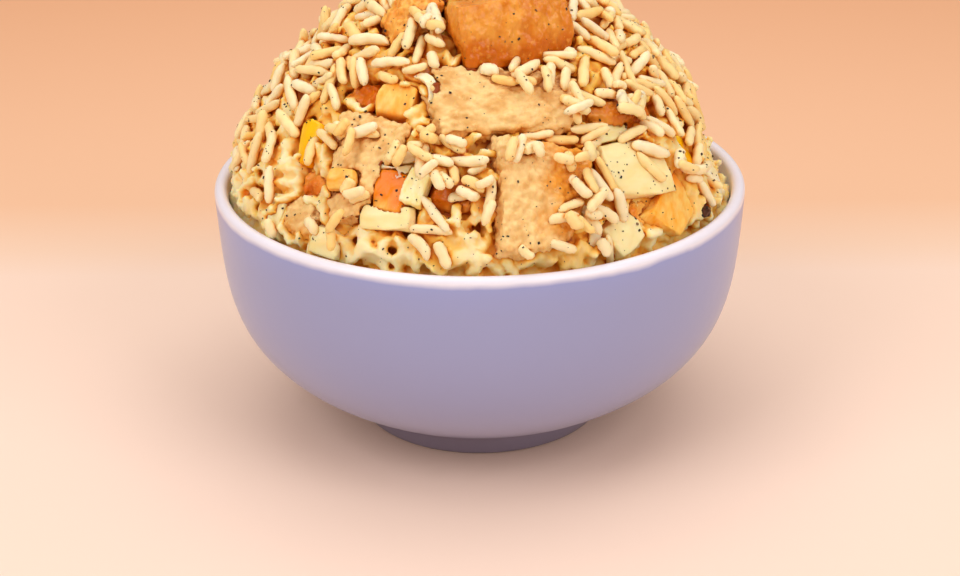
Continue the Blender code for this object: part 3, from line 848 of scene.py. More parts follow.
FINISHES: dict[Food, Finish] = {
    Food.COATED: CookedChicken(
        "chicken_in_cream_dressing",
        MeatTones("#F8D692", "#E6B66C", "#EEA236", "#DC8A2A", "#94400A"),
        0.42,
        0.15,
    ),
    Food.GLAZED: CookedChicken(
        "chicken_in_orange_glaze",
        MeatTones("#ECA23E", "#DC8420", "#D06C06", "#B85602", "#742804"),
        0.30,
        0.45,
    ),
    Food.BROWNED: CookedChicken(
        "browned_chicken",
        MeatTones("#FFBC58", "#F49830", "#E0740C", "#B85204", "#5A1C03"),
        0.36,
        0.3,
    ),
    Food.APPLE: CutFlesh("cut_apple", FleshTones("#FBEEB6", "#F8E29A", "#FBCB74", 0.36, 0.4, 0.15, 1.2)),
    Food.PINEAPPLE: CutFlesh(
        "cut_pineapple", FleshTones("#FFD070", "#FBAA2C", "#F88A0C", 0.3, 0.4, 0.25, 0.7)
    ),
    Food.CELERY: CutFlesh("cut_celery", FleshTones("#FFF6C4", "#FBEA98", "#F8CC64", 0.32, 0.4, 0.2, 0.5)),
    Food.ONION: CutFlesh("cut_onion", FleshTones("#FFF5D0", "#FFE6A8", "#FBC460", 0.28, 0.5, 0.25, 0.6)),
    Food.CORN: CutFlesh(
        "sweetcorn_skin", FleshTones("#FFC80C", "#FFB400", "#FBA004", 0.24, 0.4, 0.35, 2.5)
    ),
    Food.RAISIN: CutFlesh("raisin_skin", FleshTones("#6A3A1C", "#35180B", "#1E0C05", 0.4, 0.1, 0.2, 0.6)),
}


class Bowl:
    """The glazed bowl, turned: rounded rim, round belly and a foot ring with a shallow recess."""

    FOOT_RADIUS = 30.6 * MM
    FOOT_HEIGHT = 4.5 * MM
    FOOT_RECESS = 1.5 * MM
    FOOT_CLEAR = 1.2 * MM
    BODY_SINK = 0.4 * MM
    # Each point's distance outside the foot's radius and its height, in mm, from the belly inwards
    FOOT_SECTION = (
        (0.5, 4.6),
        (0.1, 4.0),
        (0.0, 3.1),
        (0.0, 0.7),
        (-0.2, 0.25),
        (-0.7, 0.0),
        (-3.5, 0.0),
        (-4.0, 0.4),
        (-4.5, 1.5),
    )
    BODY_START = 28.0 * MM
    FLOOR_HEIGHT = 8.0 * MM
    FLOOR_RADIUS = 20.0 * MM
    RING_POWER = 1.5
    BELLY_POWER = 4.3
    BELLY_TAPER = 0.91
    STEPS = 144
    INNER_RINGS = 16
    OUTER_RINGS = 30
    RIM_STEPS = 10
    WAVER = Relief((24.0, 24.0, 24.0), 0.22)

    def wall(
        self, start: float, end: float, low: float, high: float, rings: int
    ) -> list[tuple[float, float]]:
        """Points up one side of the wall.

        Args:
            start: Radius at the foot of the wall.
            end: Radius at its top.
            low: Height of its foot.
            high: Height of its top.
            rings: How many steps it has.

        Returns:
            Radius and height of each point, lowest first.
        """
        points = []
        for ring in range(rings + 1):
            share = (ring / rings) ** self.RING_POWER
            belly = 1.0 - (1.0 - share) ** self.BELLY_POWER
            flare = self.BELLY_TAPER + (1.0 - self.BELLY_TAPER) * share
            points.append((start + (end - start) * belly * flare, low + (high - low) * share))
        return points

    def profile(self) -> tuple[list[tuple[float, float]], int]:
        """The bowl's section.

        Returns:
            Radius and height of each point, from the axis inside to the axis underneath, and the
            number of the point at the top of the rim.
        """
        rim_middle = BOWL_HEIGHT - RIM_WALL / 2
        opening, body_low = RIM_RADIUS - RIM_WALL, self.FOOT_HEIGHT - self.BODY_SINK
        floor_high, rings = self.FLOOR_HEIGHT, self.INNER_RINGS
        inside = self.wall(self.FLOOR_RADIUS, opening, floor_high, rim_middle, rings)
        outside = self.wall(self.BODY_START, RIM_RADIUS, body_low, rim_middle, self.OUTER_RINGS)
        outside = [(r, z) for r, z in outside if r > self.FOOT_RADIUS + self.FOOT_CLEAR]
        rim = []
        for step in range(1, self.RIM_STEPS):
            angle = math.pi * step / self.RIM_STEPS
            radius = RIM_RADIUS - RIM_WALL / 2 - math.cos(angle) * RIM_WALL / 2
            rim.append((radius, rim_middle + math.sin(angle) * RIM_WALL / 2))
        foot = [(self.FOOT_RADIUS + out * MM, height * MM) for out, height in self.FOOT_SECTION]
        middle, recess = (0.0, self.FLOOR_HEIGHT), (0.0, self.FOOT_RECESS)
        points = [middle, *inside, *rim, *reversed(outside), *foot, recess]
        return points, 1 + len(inside) + len(rim) // 2

    def build(self) -> bpy.types.Object:
        """Turns the section round its axis and glazes it.

        Returns:
            The bowl.
        """
        section, rim_top = self.profile()
        deselect_all()
        bpy.ops.mesh.primitive_plane_add(size=MM, location=(0.0, 0.0, 0.0))
        obj = bpy.context.active_object
        obj.name = "glazed_bowl"
        bpy.ops.object.mode_set(mode="EDIT")
        bpy.ops.mesh.select_all(action="SELECT")
        bpy.ops.mesh.merge(type="CENTER")
        bpy.ops.transform.translate(value=(section[0][0], 0.0, section[0][1]))
        for (radius, height), (next_radius, next_height) in zip(section, section[1:]):
            step = (next_radius - radius, 0.0, next_height - height)
            bpy.ops.mesh.extrude_region_move(TRANSFORM_OT_translate={"value": step})
        bpy.ops.mesh.select_all(action="SELECT")
        turn = 2.0 * math.pi
        bpy.ops.mesh.spin(steps=self.STEPS, angle=turn, center=(0.0, 0.0, 0.0), axis=(0.0, 0.0, 1.0))
        bpy.ops.mesh.select_all(action="SELECT")
        bpy.ops.mesh.remove_doubles(threshold=0.01 * MM)
        bpy.ops.mesh.normals_make_consistent(inside=False)
        bpy.ops.object.mode_set(mode="OBJECT")
        self.mark_rim(obj, section, rim_top)
        roughen(obj, self.WAVER)
        smooth_shaded(obj, 55.0)
        return finish_piece(obj, GlazedStoneware().get(), "bowl_glaze", "bowl")

    @staticmethod
    def mark_rim(obj: bpy.types.Object, section: list[tuple[float, float]], rim_top: int) -> None:
        """Writes how far each place lies below the rim's top, in mm: below 0 inside the bowl.

        Args:
            obj: The turned bowl.
            section: Its section.
            rim_top: The number of the section's point at the top of the rim.
        """
        line = np.array(section)
        steps = np.hypot(*np.diff(line, axis=0).T)
        along = np.concatenate(([0.0], np.cumsum(steps)))
        along = (along - along[rim_top]) / MM
        points = points_of(obj)
        flat = np.stack((np.hypot(points[:, 0], points[:, 1]), points[:, 2]), axis=1)
        nearest = ((flat[:, None, :] - line[None, :, :]) ** 2).sum(2).argmin(1)
        set_attribute(obj, BELOW_RIM, along[nearest])


@dataclass(frozen=True)
class GrainShape:
    """One shape of cooked grain: 1 long in Z and 1 across."""

    points: np.ndarray
    faces: list


class GrainMould:
    """Makes the few shapes that all grains are copied from."""

    SIDES = 8
    RINGS = 7
    BEND = 0.42
    SLANT = 0.25
    TAPER = 0.10
    FLAT = (0.80, 0.95)
    DENT_REACH = 0.25
    DENT = 0.12
    DENT_SPREAD = 0.01
    KNOCK = 0.05

    def __init__(self, count: int, seed: int, blunt: tuple[float, float]) -> None:
        """Makes the shapes.

        Args:
            count: How many.
            seed: Where their chance starts.
            blunt: How blunt their ends are: 2 is an egg's, 8 a rod's.
        """
        self.blunt = blunt
        draw = random.Random(seed)
        self.shapes = [self.shape(draw) for _ in range(count)]

    def shape(self, draw: random.Random) -> GrainShape:
        """One grain: blunt ends, a slight bend, a soft dent and one end cut slantwise."""
        bend, bend_way = draw.uniform(0.0, self.BEND), draw.uniform(0.0, 2.0 * math.pi)
        slant, blunt = draw.uniform(-self.SLANT, self.SLANT), draw.uniform(*self.blunt)
        taper, flat = draw.uniform(-self.TAPER, self.TAPER), draw.uniform(*self.FLAT)
        dent_place, dent = draw.uniform(-self.DENT_REACH, self.DENT_REACH), draw.uniform(0.0, self.DENT)
        rows = [(0.0, 0.0, -0.5)]
        for ring in range(1, self.RINGS + 1):
            z = -0.5 * math.cos(math.pi * ring / (self.RINGS + 1))
            width = 0.5 * (1.0 - abs(2.0 * z) ** blunt) ** 0.5 * (1.0 + taper * 2.0 * z)
            width *= 1.0 - dent * math.exp(-((z - dent_place) ** 2) / self.DENT_SPREAD)
            for side in range(self.SIDES):
                angle = 2.0 * math.pi * (side + 0.5 * (ring % 2)) / self.SIDES
                x, y = math.cos(angle) * width, math.sin(angle) * width * flat
                knock = 1.0 + draw.uniform(-self.KNOCK, self.KNOCK)
                rows.append((x * knock, y * knock, z + slant * x * max(0.0, 2.0 * z)))
        rows.append((0.0, 0.0, 0.5))
        points = np.array(rows)
        curve = bend * (0.5 - 2.0 * points[:, 2] ** 2)
        points[:, 0] += curve * math.cos(bend_way)
        points[:, 1] += curve * math.sin(bend_way)
        return GrainShape(points, self.faces())

    def faces(self) -> list:
        """Rings of faces, with a fan at each end."""
        sides, last = self.SIDES, self.SIDES * self.RINGS + 1
        found = []
        for side in range(sides):
            after = (side + 1) % sides
            found.append((0, 1 + after, 1 + side))
            for ring in range(self.RINGS - 1):
                low, high = 1 + ring * sides, 1 + (ring + 1) * sides
                found.append((low + side, low + after, high + after, high + side))
            top = 1 + (self.RINGS - 1) * sides
            found.append((top + side, top + after, last))
        return found


@dataclass
class Grain:
    """One grain where it lies."""

    middle: Vector
    axis: Vector
    length: float
    width: float
    tone: float

    BEADS = ((-0.40, 0.36), (-0.22, 0.48), (0.0, 0.5), (0.22, 0.48), (0.40, 0.36))

    def beads(self) -> tuple[np.ndarray, np.ndarray]:
        """The grain as a row of balls, for finding what it touches.

        Returns:
            The balls' middles, one row each, and their radii.
        """
        shares, widths = np.array(self.BEADS).T
        centres = np.array(self.middle) + np.outer(shares * self.length, np.array(self.axis))
        return centres, widths * self.width


class Grains:
    """A lot of grains that become one mesh."""

    def __init__(self, mould: GrainMould, seed: int) -> None:
        """Starts with none.

        Args:
            mould: The shapes to copy.
            seed: Where the choice of shape and roll starts.
        """
        self.mould = mould
        self.draw = random.Random(seed)
        self.points: list[np.ndarray] = []
        self.faces: list = []
        self.tones: list[np.ndarray] = []
        self.count = 0
        self.number = 0

    def add(self, grain: Grain, swell: float = 0.0) -> None:
        """Adds one grain's mesh.

        Args:
            grain: The grain.
            swell: How much its surface is moved out, in metres.
        """
        shape = self.draw.choice(self.mould.shapes)
        turn = grain.axis.to_track_quat("Z", "Y").to_matrix() @ Matrix.Rotation(
            self.draw.uniform(0.0, 2.0 * math.pi), 3, "Z"
        )
        scale = np.array((grain.width, grain.width, grain.length)) + 2.0 * swell
        placed = (shape.points * scale) @ np.array(turn).T + np.array(grain.middle)
        self.points.append(placed)
        self.faces.extend([tuple(index + self.count for index in face) for face in shape.faces])
        self.tones.append(np.full(len(placed), grain.tone))
        self.count += len(placed)
        self.number += 1

    def make(self, name: str) -> bpy.types.Object:
        """Joins the grains into one object, with each grain's tone on its points."""
        obj = object_from(name, np.concatenate(self.points), self.faces)
        set_attribute(obj, TONE, np.concatenate(self.tones))
        return obj


class Support(Enum):
    """What a falling grain came to rest on."""

    NOTHING = 0
    CORE = 1
    TOPPING = 2
    GRAIN = 3
    LAID = 4


class Pile:
    """Lets grains fall towards the heap until they touch it or each other."""

    ROOM = 60000
    NEAR = 17.0 * MM
    MIDDLE_BEADS = (1, 2, 3)
    RIM_CLEAR = 0.5 * MM
    WALL_CLEAR = 0.2 * MM

    def __init__(self) -> None:
        """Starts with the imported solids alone."""
        self.core = self.tree(["rice_heap"])
        self.toppings = self.tree([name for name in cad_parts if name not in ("rice_heap", "bowl")])
        self.bowl = self.tree(["bowl"])
        self.centres = np.zeros((self.ROOM, 3))
        self.radii = np.zeros(self.ROOM)
        self.laid = np.zeros(self.ROOM, bool)
        self.count = 0

    @staticmethod
    def tree(names: list[str]) -> BVHTree:
        """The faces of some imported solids, ready to be searched."""
        points, faces = [], []
        for name in names:
            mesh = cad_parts[name].data
            start = len(points)
            points.extend(vertex.co.copy() for vertex in mesh.vertices)
            faces.extend([start + index for index in polygon.vertices] for polygon in mesh.polygons)
        return BVHTree.FromPolygons(points, faces)

    def remember(self, grain: Grain, laid: bool = False) -> None:
        """Keeps a grain, so that later ones rest on it."""
        centres, radii = grain.beads()
        end = self.count + len(radii)
        self.centres[self.count : end] = centres
        self.radii[self.count : end] = radii
        self.laid[self.count : end] = laid
        self.count = end

    def fall(self, grain: Grain, down: Vector, sink: float) -> tuple[float, Support]:
        """How far a grain falls.

        Args:
            grain: The grain, clear of the heap.
            down: The way it falls.
            sink: How far grains press into each other.

        Returns:
            The distance, and what stopped it.
        """
        centres, radii = grain.beads()
        way = np.array(down)
        best, support = 1.0, Support.NOTHING
        near = np.abs(self.centres[: self.count] - np.array(grain.middle)).max(1) < self.NEAR
        others = self.centres[: self.count][near]
        if len(others):
            apart = others[None, :, :] - centres[:, None, :]
            along = apart @ way
            aside = (apart**2).sum(2) - along**2
            reach = radii[:, None] + self.radii[: self.count][near][None, :] - sink
            room = reach**2 - aside
            travel = np.where(room > 0.0, along - np.sqrt(np.maximum(room, 0.0)), 1.0)
            travel = np.where(travel < -0.5 * MM, 1.0, travel)
            index = int(travel.argmin())
            best = float(travel.ravel()[index])
            marks = self.laid[: self.count][near]
            support = Support.LAID if marks[index % len(others)] else Support.GRAIN
        for number, (centre, radius) in enumerate(zip(centres, radii)):
            start = Vector(centre)
            for tree, kind in ((self.core, Support.CORE), (self.toppings, Support.TOPPING)):
                if kind is Support.TOPPING and number not in self.MIDDLE_BEADS:
                    continue
                _, surface, _, distance = tree.ray_cast(start, down)
                if distance is not None and surface.dot(down) > 0.0:
                    return 0.0, Support.NOTHING
                if distance is not None and distance - radius + sink < best:
                    best, support = distance - radius + sink, kind
        return best, support

    def over_topping(self, grain: Grain, down: Vector) -> bool:
        """Whether a grain lies over a piece of chicken, fruit or vegetable."""
        _, _, _, topping = self.toppings.ray_cast(grain.middle, down)
        _, _, _, core = self.core.ray_cast(grain.middle, down)
        return topping is not None and (core is None or topping < core)

    def off_core(self, grain: Grain) -> float:
        """How far the middle of a grain is from the rice's own core."""
        return self.core.find_nearest(grain.middle)[3]

    def off_solids(self, grain: Grain) -> float:
        """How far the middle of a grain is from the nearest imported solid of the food."""
        return min(self.off_core(grain), self.toppings.find_nearest(grain.middle)[3])

    def clear_of_bowl(self, grain: Grain) -> bool:
        """Whether a grain stays inside the rim."""
        centres, radii = grain.beads()
        reach = np.hypot(centres[:, 0], centres[:, 1]) + radii
        low = centres[:, 2] - radii < BOWL_HEIGHT + self.RIM_CLEAR
        return not bool((low & (reach > RIM_RADIUS - RIM_WALL - self.WALL_CLEAR)).any())


@dataclass(frozen=True)
class Pour:
    """How one lot of grains is poured on the heap.

    Lengths, widths, sink and highest are in mm, and tilt in degrees. Each grain tries a few lies.
    On_edge and on_topping are the shares kept at a piece's edge and on its middle.
    """

    tries: int
    lengths: tuple[float, float]
    widths: tuple[float, float]
    tilt: float
    sink: float
    highest: float
    seed: int
    trials: int
    on_edge: float
    on_topping: float


@dataclass(frozen=True)
class SeenGrain:
    """A grain that stands out in the photograph, by the pixels at its two ends.

    Width is in mm, and tone runs from 0, ivory, to 1, golden.
    """

    start: tuple[float, float]
    end: tuple[float, float]
    width: float = 2.6
    tone: float = 0.35


@dataclass(frozen=True)
class SeenClump:
    """A clump of grains that lies over other pieces, by the pixels of its middle and reach."""

    middle: tuple[float, float]
    reach: tuple[float, float]
    grains: int


SEEN_GRAINS: tuple[SeenGrain, ...] = (
    SeenGrain((344, 24), (355, 54), 3.0, 0.2),
    SeenGrain((360, 58), (366, 85), 2.8, 0.1),
    SeenGrain((344, 44), (326, 56), 2.6, 0.3),
    SeenGrain((325, 56), (329, 78), 2.6, 0.5),
    SeenGrain((322, 81), (310, 120), 2.7, 0.3),
    SeenGrain((329, 84), (337, 110), 2.7, 0.3),
    SeenGrain((302, 47), (296, 71), 2.5, 0.6),
    SeenGrain((372, 64), (410, 62), 2.9, 0.05),
    SeenGrain((379, 73), (398, 80), 2.6, 0.9),
    SeenGrain((405, 49), (414, 18), 2.6, 0.3),
    SeenGrain((431, 52), (435, 68), 2.6, 0.2),
    SeenGrain((402, 71), (428, 65), 2.4, 0.4),
    SeenGrain((549, 16), (551, 34), 3.2, 0.1),
    SeenGrain((567, 21), (590, 39), 2.7, 0.1),
    SeenGrain((588, 36), (611, 54), 2.7, 0.1),
    SeenGrain((597, 31), (621, 31), 2.6, 0.3),
    SeenGrain((564, 50), (575, 58), 2.8, 0.1),
    SeenGrain((572, 53), (592, 73), 2.7, 0.2),
    SeenGrain((577, 45), (605, 72), 2.8, 0.1),
    SeenGrain((512, 76), (540, 62), 2.7, 0.2),
    SeenGrain((551, 63), (548, 90), 2.7, 0.2),
    SeenGrain((567, 68), (564, 90), 2.6, 0.3),
    SeenGrain((603, 68), (614, 91), 2.6, 0.4),
    SeenGrain((614, 84), (625, 88), 2.6, 0.3),
    SeenGrain((595, 93), (616, 94), 2.6, 0.3),
    SeenGrain((480, 69), (499, 72), 3.2, 0.0),
    SeenGrain((653, 92), (662, 116), 2.6, 0.3),
    SeenGrain((663, 84), (678, 89), 2.6, 0.3),
    SeenGrain((666, 92), (682, 119), 2.6, 0.2),
    SeenGrain((684, 116), (701, 108), 2.6, 0.3),
    SeenGrain((638, 78), (664, 84), 2.6, 0.2),
    SeenGrain((425, 143), (420, 177), 2.8, 0.1),
    SeenGrain((440, 229), (479, 252), 3.8, 0.3),
    SeenGrain((436, 242), (448, 269), 2.8, 0.3),
    SeenGrain((409, 235), (429, 258), 2.8, 0.2),
    SeenGrain((428, 255), (453, 271), 2.8, 0.3),
    SeenGrain((370, 260), (381, 242), 2.6, 0.3),
    SeenGrain((306, 219), (317, 233), 2.6, 0.3),
    SeenGrain((266, 219), (275, 238), 2.6, 0.3),
    SeenGrain((491, 176), (487, 210), 2.5, 0.3),
    SeenGrain((593, 182), (622, 214), 2.9, 0.1),
    SeenGrain((570, 176), (594, 196), 2.6, 0.1),
    SeenGrain((591, 206), (618, 221), 2.6, 0.2),
    SeenGrain((549, 221), (579, 216), 2.6, 0.3),
    SeenGrain((586, 212), (602, 233), 2.6, 0.2),
    SeenGrain((549, 242), (576, 251), 2.6, 0.3),
    SeenGrain((520, 246), (533, 257), 2.6, 0.4),
    SeenGrain((632, 144), (668, 156), 3.2, 0.0),
)

SEEN_CLUMPS: tuple[SeenClump, ...] = (
    SeenClump((457, 170), (22, 30), 44),
    SeenClump((431, 150), (5, 28), 10),
    SeenClump((348, 134), (18, 9), 10),
    SeenClump((356, 190), (12, 8), 6),
    SeenClump((429, 29), (12, 20), 14),
    SeenClump((635, 98), (16, 13), 9),
    SeenClump((520, 145), (34, 5), 10),
    SeenClump((578, 156), (17, 8), 6),
    SeenClump((486, 205), (4, 36), 8),
    SeenClump((588, 205), (18, 28), 18),
    SeenClump((405, 150), (22, 7), 7),
    SeenClump((330, 232), (8, 20), 7),
    SeenClump((520, 80), (30, 3), 4),
    SeenClump((574, 108), (7, 16), 8),
    SeenClump((598, 240), (10, 16), 8),
    SeenClump((690, 170), (12, 22), 7),
)


class Region:
    """Where the heap's grains lie clean and apart, and where the dressing runs them together.

    The front is split by bearing, in degrees: the left, the middle and the right end there. On
    the left the clean grains get more from a certain rise upwards, on the right there are fewer
    below one, and round the back they come and go in waves.
    """

    LEFT_END = -110.0
    MIDDLE_END = -80.0
    RIGHT_END = 20.0
    LEFT_LEAST = 0.07
    LEFT_GAIN = 0.55
    LEFT_RISE = 0.45
    MIDDLE = 0.22
    RIGHT_RISE = 0.36
    RIGHT_LOW = 0.5
    BACK = 0.4
    BACK_WAVE = 0.25
    BACK_LIMITS = (0.1, 0.9)
    TURN_WAVES = 3.0
    RISE_WAVES = 9.0

    @staticmethod
    def crispness(bearing: float, rise: float) -> float:
        """How many of the grains lie clean here, from 0 to 1.

        Args:
            bearing: Degrees from +X towards +Y.
            rise: 0 at the rim and 1 at the top.

        Returns:
            The share.
        """
        turn = (bearing + 180.0) % 360.0 - 180.0
        if turn < Region.LEFT_END:
            return Region.LEFT_LEAST + Region.LEFT_GAIN * max(0.0, rise - Region.LEFT_RISE)
        if turn < Region.MIDDLE_END:
            return Region.MIDDLE
        if turn < Region.RIGHT_END:
            return 1.0 if rise > Region.RIGHT_RISE else Region.RIGHT_LOW
        least, most = Region.BACK_LIMITS
        waves = math.sin(math.radians(Region.TURN_WAVES * turn))
        waves += math.sin(rise * Region.RISE_WAVES + math.radians(turn))
        return min(most, max(least, Region.BACK + Region.BACK_WAVE * waves))


class RiceHeap:
    """The rice: a bed of dressed grains on the core, and clean grains loose on top of it."""

    COATED_POUR = Pour(11000, (5.5, 9.0), (2.3, 2.8), 20.0, 0.7, 2.3, 21, 3, 0.5, 0.01)
    CURD_POUR = Pour(6000, (3.4, 6.0), (2.2, 3.1), 45.0, 1.0, 2.4, 23, 1, 0.7, 0.02)
    CRISP_POUR = Pour(11000, (7.5, 11.0), (2.3, 2.9), 24.0, 0.8, 4.6, 22, 3, 0.35, 0.01)
    START = 11.0 * MM
    TOP_RISE = 0.995
    STRIPS = 200
    EDGE_REACH = 2.8 * MM
    FARTHEST_OFF = 3.9 * MM
    AT_RIM = 0.14
    RIM_HIGHEST = 1.2
    LOW_SHARE = 0.25
    LOW_RISE = 0.35
    LAID_SINK = 0.45
    CLUMP_SINK = 0.55
    CLUMP_HALF = (8.0, 15.0)
    CLUMP_WIDTHS = (2.3, 2.9)
    CLUMP_CROWDING = 1.05
    CLUMP_SEED = 24
    STEEPEST = 0.7
    SWELL = 0.17 * MM
    CORE_VOXEL = 1.0 * MM
    CORE_SHRINK = 0.3 * MM
    CORE_RELIEFS = (Relief((11.0, 11.0, 11.0), 2.86, 0), Relief((4.2, 4.2, 4.2), 2.2))
    FILL_VOXEL = 1.0 * MM
    FILL_IN = 1.3 * MM
    FILL_OUT = 1.3 * MM
    FILL_THIN = 0.5 * MM
    FILL_DEPTH = (-0.5 * MM, 1.5 * MM)
    LARGE = (Food.COATED, Food.GLAZED, Food.BROWNED, Food.PINEAPPLE, Food.APPLE)
    VOXEL = 0.55 * MM
    BED_FACES = 190000
    BED_RELIEFS = (
        Relief((2.2, 2.2, 2.2), 0.95, 2),
        Relief((1.6, 1.6, 1.6), -0.7, 0, "VORONOI_F1"),
        Relief((0.9, 0.9, 0.9), 0.40),
    )

    def __init__(self, studio: Studio) -> None:
        """Sets up the empty pile.

        Args:
            studio: Whose camera says where the grains seen in the photograph lie.
        """
        self.studio = studio
        self.pile = Pile()
        self.mould = GrainMould(14, 5, (3.4, 6.5))
        self.curd_mould = GrainMould(10, 6, (2.2, 3.6))

    @staticmethod
    def places(tries: int, seed: int) -> Iterator[tuple[float, float, random.Random]]:
        """Even chance places over the heap's surface.

        Args:
            tries: How many.
            seed: Where their chance starts.

        Yields:
            Bearing, rise and the chance that they are drawn from.
        """
        draw = random.Random(seed)
        rises = np.linspace(0.0, RiceHeap.TOP_RISE, RiceHeap.STRIPS)
        radii = np.array([mound_radius(rise) for rise in rises])
        strips = np.hypot(np.diff(radii), np.diff(rises) * MOUND_RISE) * (radii[1:] + radii[:-1])
        shares = np.concatenate(([0.0], np.cumsum(strips))) / strips.sum()
        for _ in range(tries):
            rise = float(np.interp(draw.random(), shares, rises))
            if draw.random() < RiceHeap.AT_RIM:
                rise = -draw.random()
            yield draw.uniform(-180.0, 180.0), rise, draw

    def settle(
        self, pour: Pour, bearing: float, rise: float, draw: random.Random
    ) -> tuple[Grain, float, Support]:
        """Tries a few lies for one grain and keeps the one that comes down lowest.

        Args:
            pour: The lot it belongs to.
            bearing: Where it falls.
            rise: Where it falls.
            draw: The lot's chance.

        Returns:
            The grain at rest, its height over the heap's surface and what it lies on.
        """
        point, normal = mound_place(bearing, rise)
        across = UP.cross(point).normalized()
        length = draw.uniform(*pour.lengths) * MM
        width = draw.uniform(*pour.widths) * MM
        tone = draw.random()
        best: tuple[Grain, float, Support] | None = None
        for _ in range(pour.trials):
            lie = Matrix.Rotation(draw.uniform(0.0, math.pi), 3, normal) @ across
            tilt = math.radians(draw.gauss(0.0, pour.tilt))
            axis = (lie * math.cos(tilt) + normal * math.sin(tilt)).normalized()
            grain = Grain(point + normal * self.START, axis, length, width, tone)
            travel, support = self.pile.fall(grain, -normal, pour.sink * MM)
            height = self.START - travel
            if best is None or height < best[1]:
                grain.middle = point + normal * height
                best = (grain, height, support)
        return best

    def pour(self, pour: Pour, into: Grains, crisp: bool) -> None:
        """Pours one lot.

        Args:
            pour: The lot.
            into: Where its grains go.
            crisp: Whether it lies where the grains are clean.
        """
        for bearing, rise, draw in self.places(pour.tries, pour.seed):
            share = Region.crispness(bearing, rise)
            if crisp and draw.random() > share:
                continue
            grain, height, support = self.settle(pour, bearing, rise, draw)
            highest = (self.RIM_HIGHEST if rise < 0.0 else pour.highest) * MM
            highest *= min(1.0, self.LOW_SHARE + abs(rise) / self.LOW_RISE)
            limit = highest - slip_at(bearing, rise) * (highest + TROUGH_FLOOR)
            if height > limit or support in (Support.NOTHING, Support.LAID):
                continue
            if self.pile.over_topping(grain, -mound_place(bearing, rise)[1]):
                at_edge = self.pile.off_core(grain) < self.EDGE_REACH
                if draw.random() > (pour.on_edge if at_edge else pour.on_topping):
                    continue
            if not self.pile.clear_of_bowl(grain):
                continue
            self.pile.remember(grain)
            into.add(grain, 0.0 if crisp else self.SWELL)

    def lay(self, seen: SeenGrain, sink: float, into: Grains) -> None:
        """Lays a grain that the photograph shows on whatever carries it there.

        Args:
            seen: The grain.
            sink: How far it presses in, in mm.
            into: Where it goes.
        """
        first, last = self.studio.mound_at(*seen.start), self.studio.mound_at(*seen.end)
        if first is None and last is None:
            return
        eye = self.studio.place()
        first = first or eye + self.studio.ray(*seen.start) * (last - eye).length
        last = last or eye + self.studio.ray(*seen.end) * (first - eye).length
        middle = (first + last) / 2.0
        way = (middle - eye).normalized()
        reach = last - first
        along = reach.dot(way)
        limit = self.STEEPEST * (reach - way * along).length
        reach -= way * (along - min(max(along, -limit), limit))
        middle = middle - way * self.START
        grain = Grain(middle, reach.normalized(), reach.length, seen.width * MM, seen.tone)
        travel, support = self.pile.fall(grain, way, sink * MM)
        if support is Support.NOTHING:
            return
        grain.middle += way * travel
        if self.pile.off_solids(grain) > self.FARTHEST_OFF:
            return
        self.pile.remember(grain, laid=True)
        into.add(grain)

    def lay_clump(self, clump: SeenClump, draw: random.Random, into: Grains) -> None:
        """Lays a clump of grains where the photograph shows one.

        Args:
            clump: The clump.
            draw: The chance of how its grains lie.
            into: Where they go.
        """
        for _ in range(round(clump.grains * self.CLUMP_CROWDING)):
            turn, out = draw.uniform(0.0, 2.0 * math.pi), draw.random() ** 0.5
            across = clump.middle[0] + math.cos(turn) * out * clump.reach[0]
            down = clump.middle[1] + math.sin(turn) * out * clump.reach[1]
            lie, half = draw.uniform(0.0, math.pi), draw.uniform(*self.CLUMP_HALF)
            step = (math.cos(lie) * half, math.sin(lie) * half)
            start, end = (across - step[0], down - step[1]), (across + step[0], down + step[1])
            seen = SeenGrain(start, end, draw.uniform(*self.CLUMP_WIDTHS), draw.random())
            self.lay(seen, self.CLUMP_SINK, into)

    def filling(self, topping: "Topping") -> bpy.types.Object:
        """A copy of a piece that the dressing fills: thinner where it stands out, wider below.

        Args:
            topping: The piece.

        Returns:
            The copy, which closes the gap round the piece when it is joined to the bed.
        """
        obj = copy_of_node(topping.node, "filling")
        apply_modifier(obj, "REMESH", mode="VOXEL", voxel_size=self.FILL_VOXEL, use_smooth_shade=True)
        points, normals = points_of(obj), normals_of(obj)
        rises = (points[:, 2] - BOWL_HEIGHT) / MOUND_RISE
        edges = np.array([mound_radius(rise) for rise in rises])
        depth = edges - np.hypot(points[:, 0], points[:, 1])
        share = np.clip(np.interp(depth, self.FILL_DEPTH, (0.0, 1.0)), 0.0, 1.0)
        inward = self.FILL_IN if topping.food in self.LARGE else self.FILL_THIN
        shift = share * (self.FILL_OUT + inward) - inward + self.SWELL
        obj.data.vertices.foreach_set("co", (points + normals * shift[:, None]).ravel())
        obj.data.update()
        return obj

    def core(self) -> bpy.types.Object:
        """The heap's body under the grains, softened and drawn in a little."""
        obj = copy_of_node("rice_heap", "rice_core")
        apply_modifier(obj, "REMESH", mode="VOXEL", voxel_size=self.CORE_VOXEL, use_smooth_shade=True)
        apply_modifier(obj, "SMOOTH", factor=0.5, iterations=6)
        apply_modifier(obj, "DISPLACE", strength=self.SWELL - self.CORE_SHRINK, mid_level=0.0)
        for relief in self.CORE_RELIEFS:
            roughen(obj, relief)
        return obj

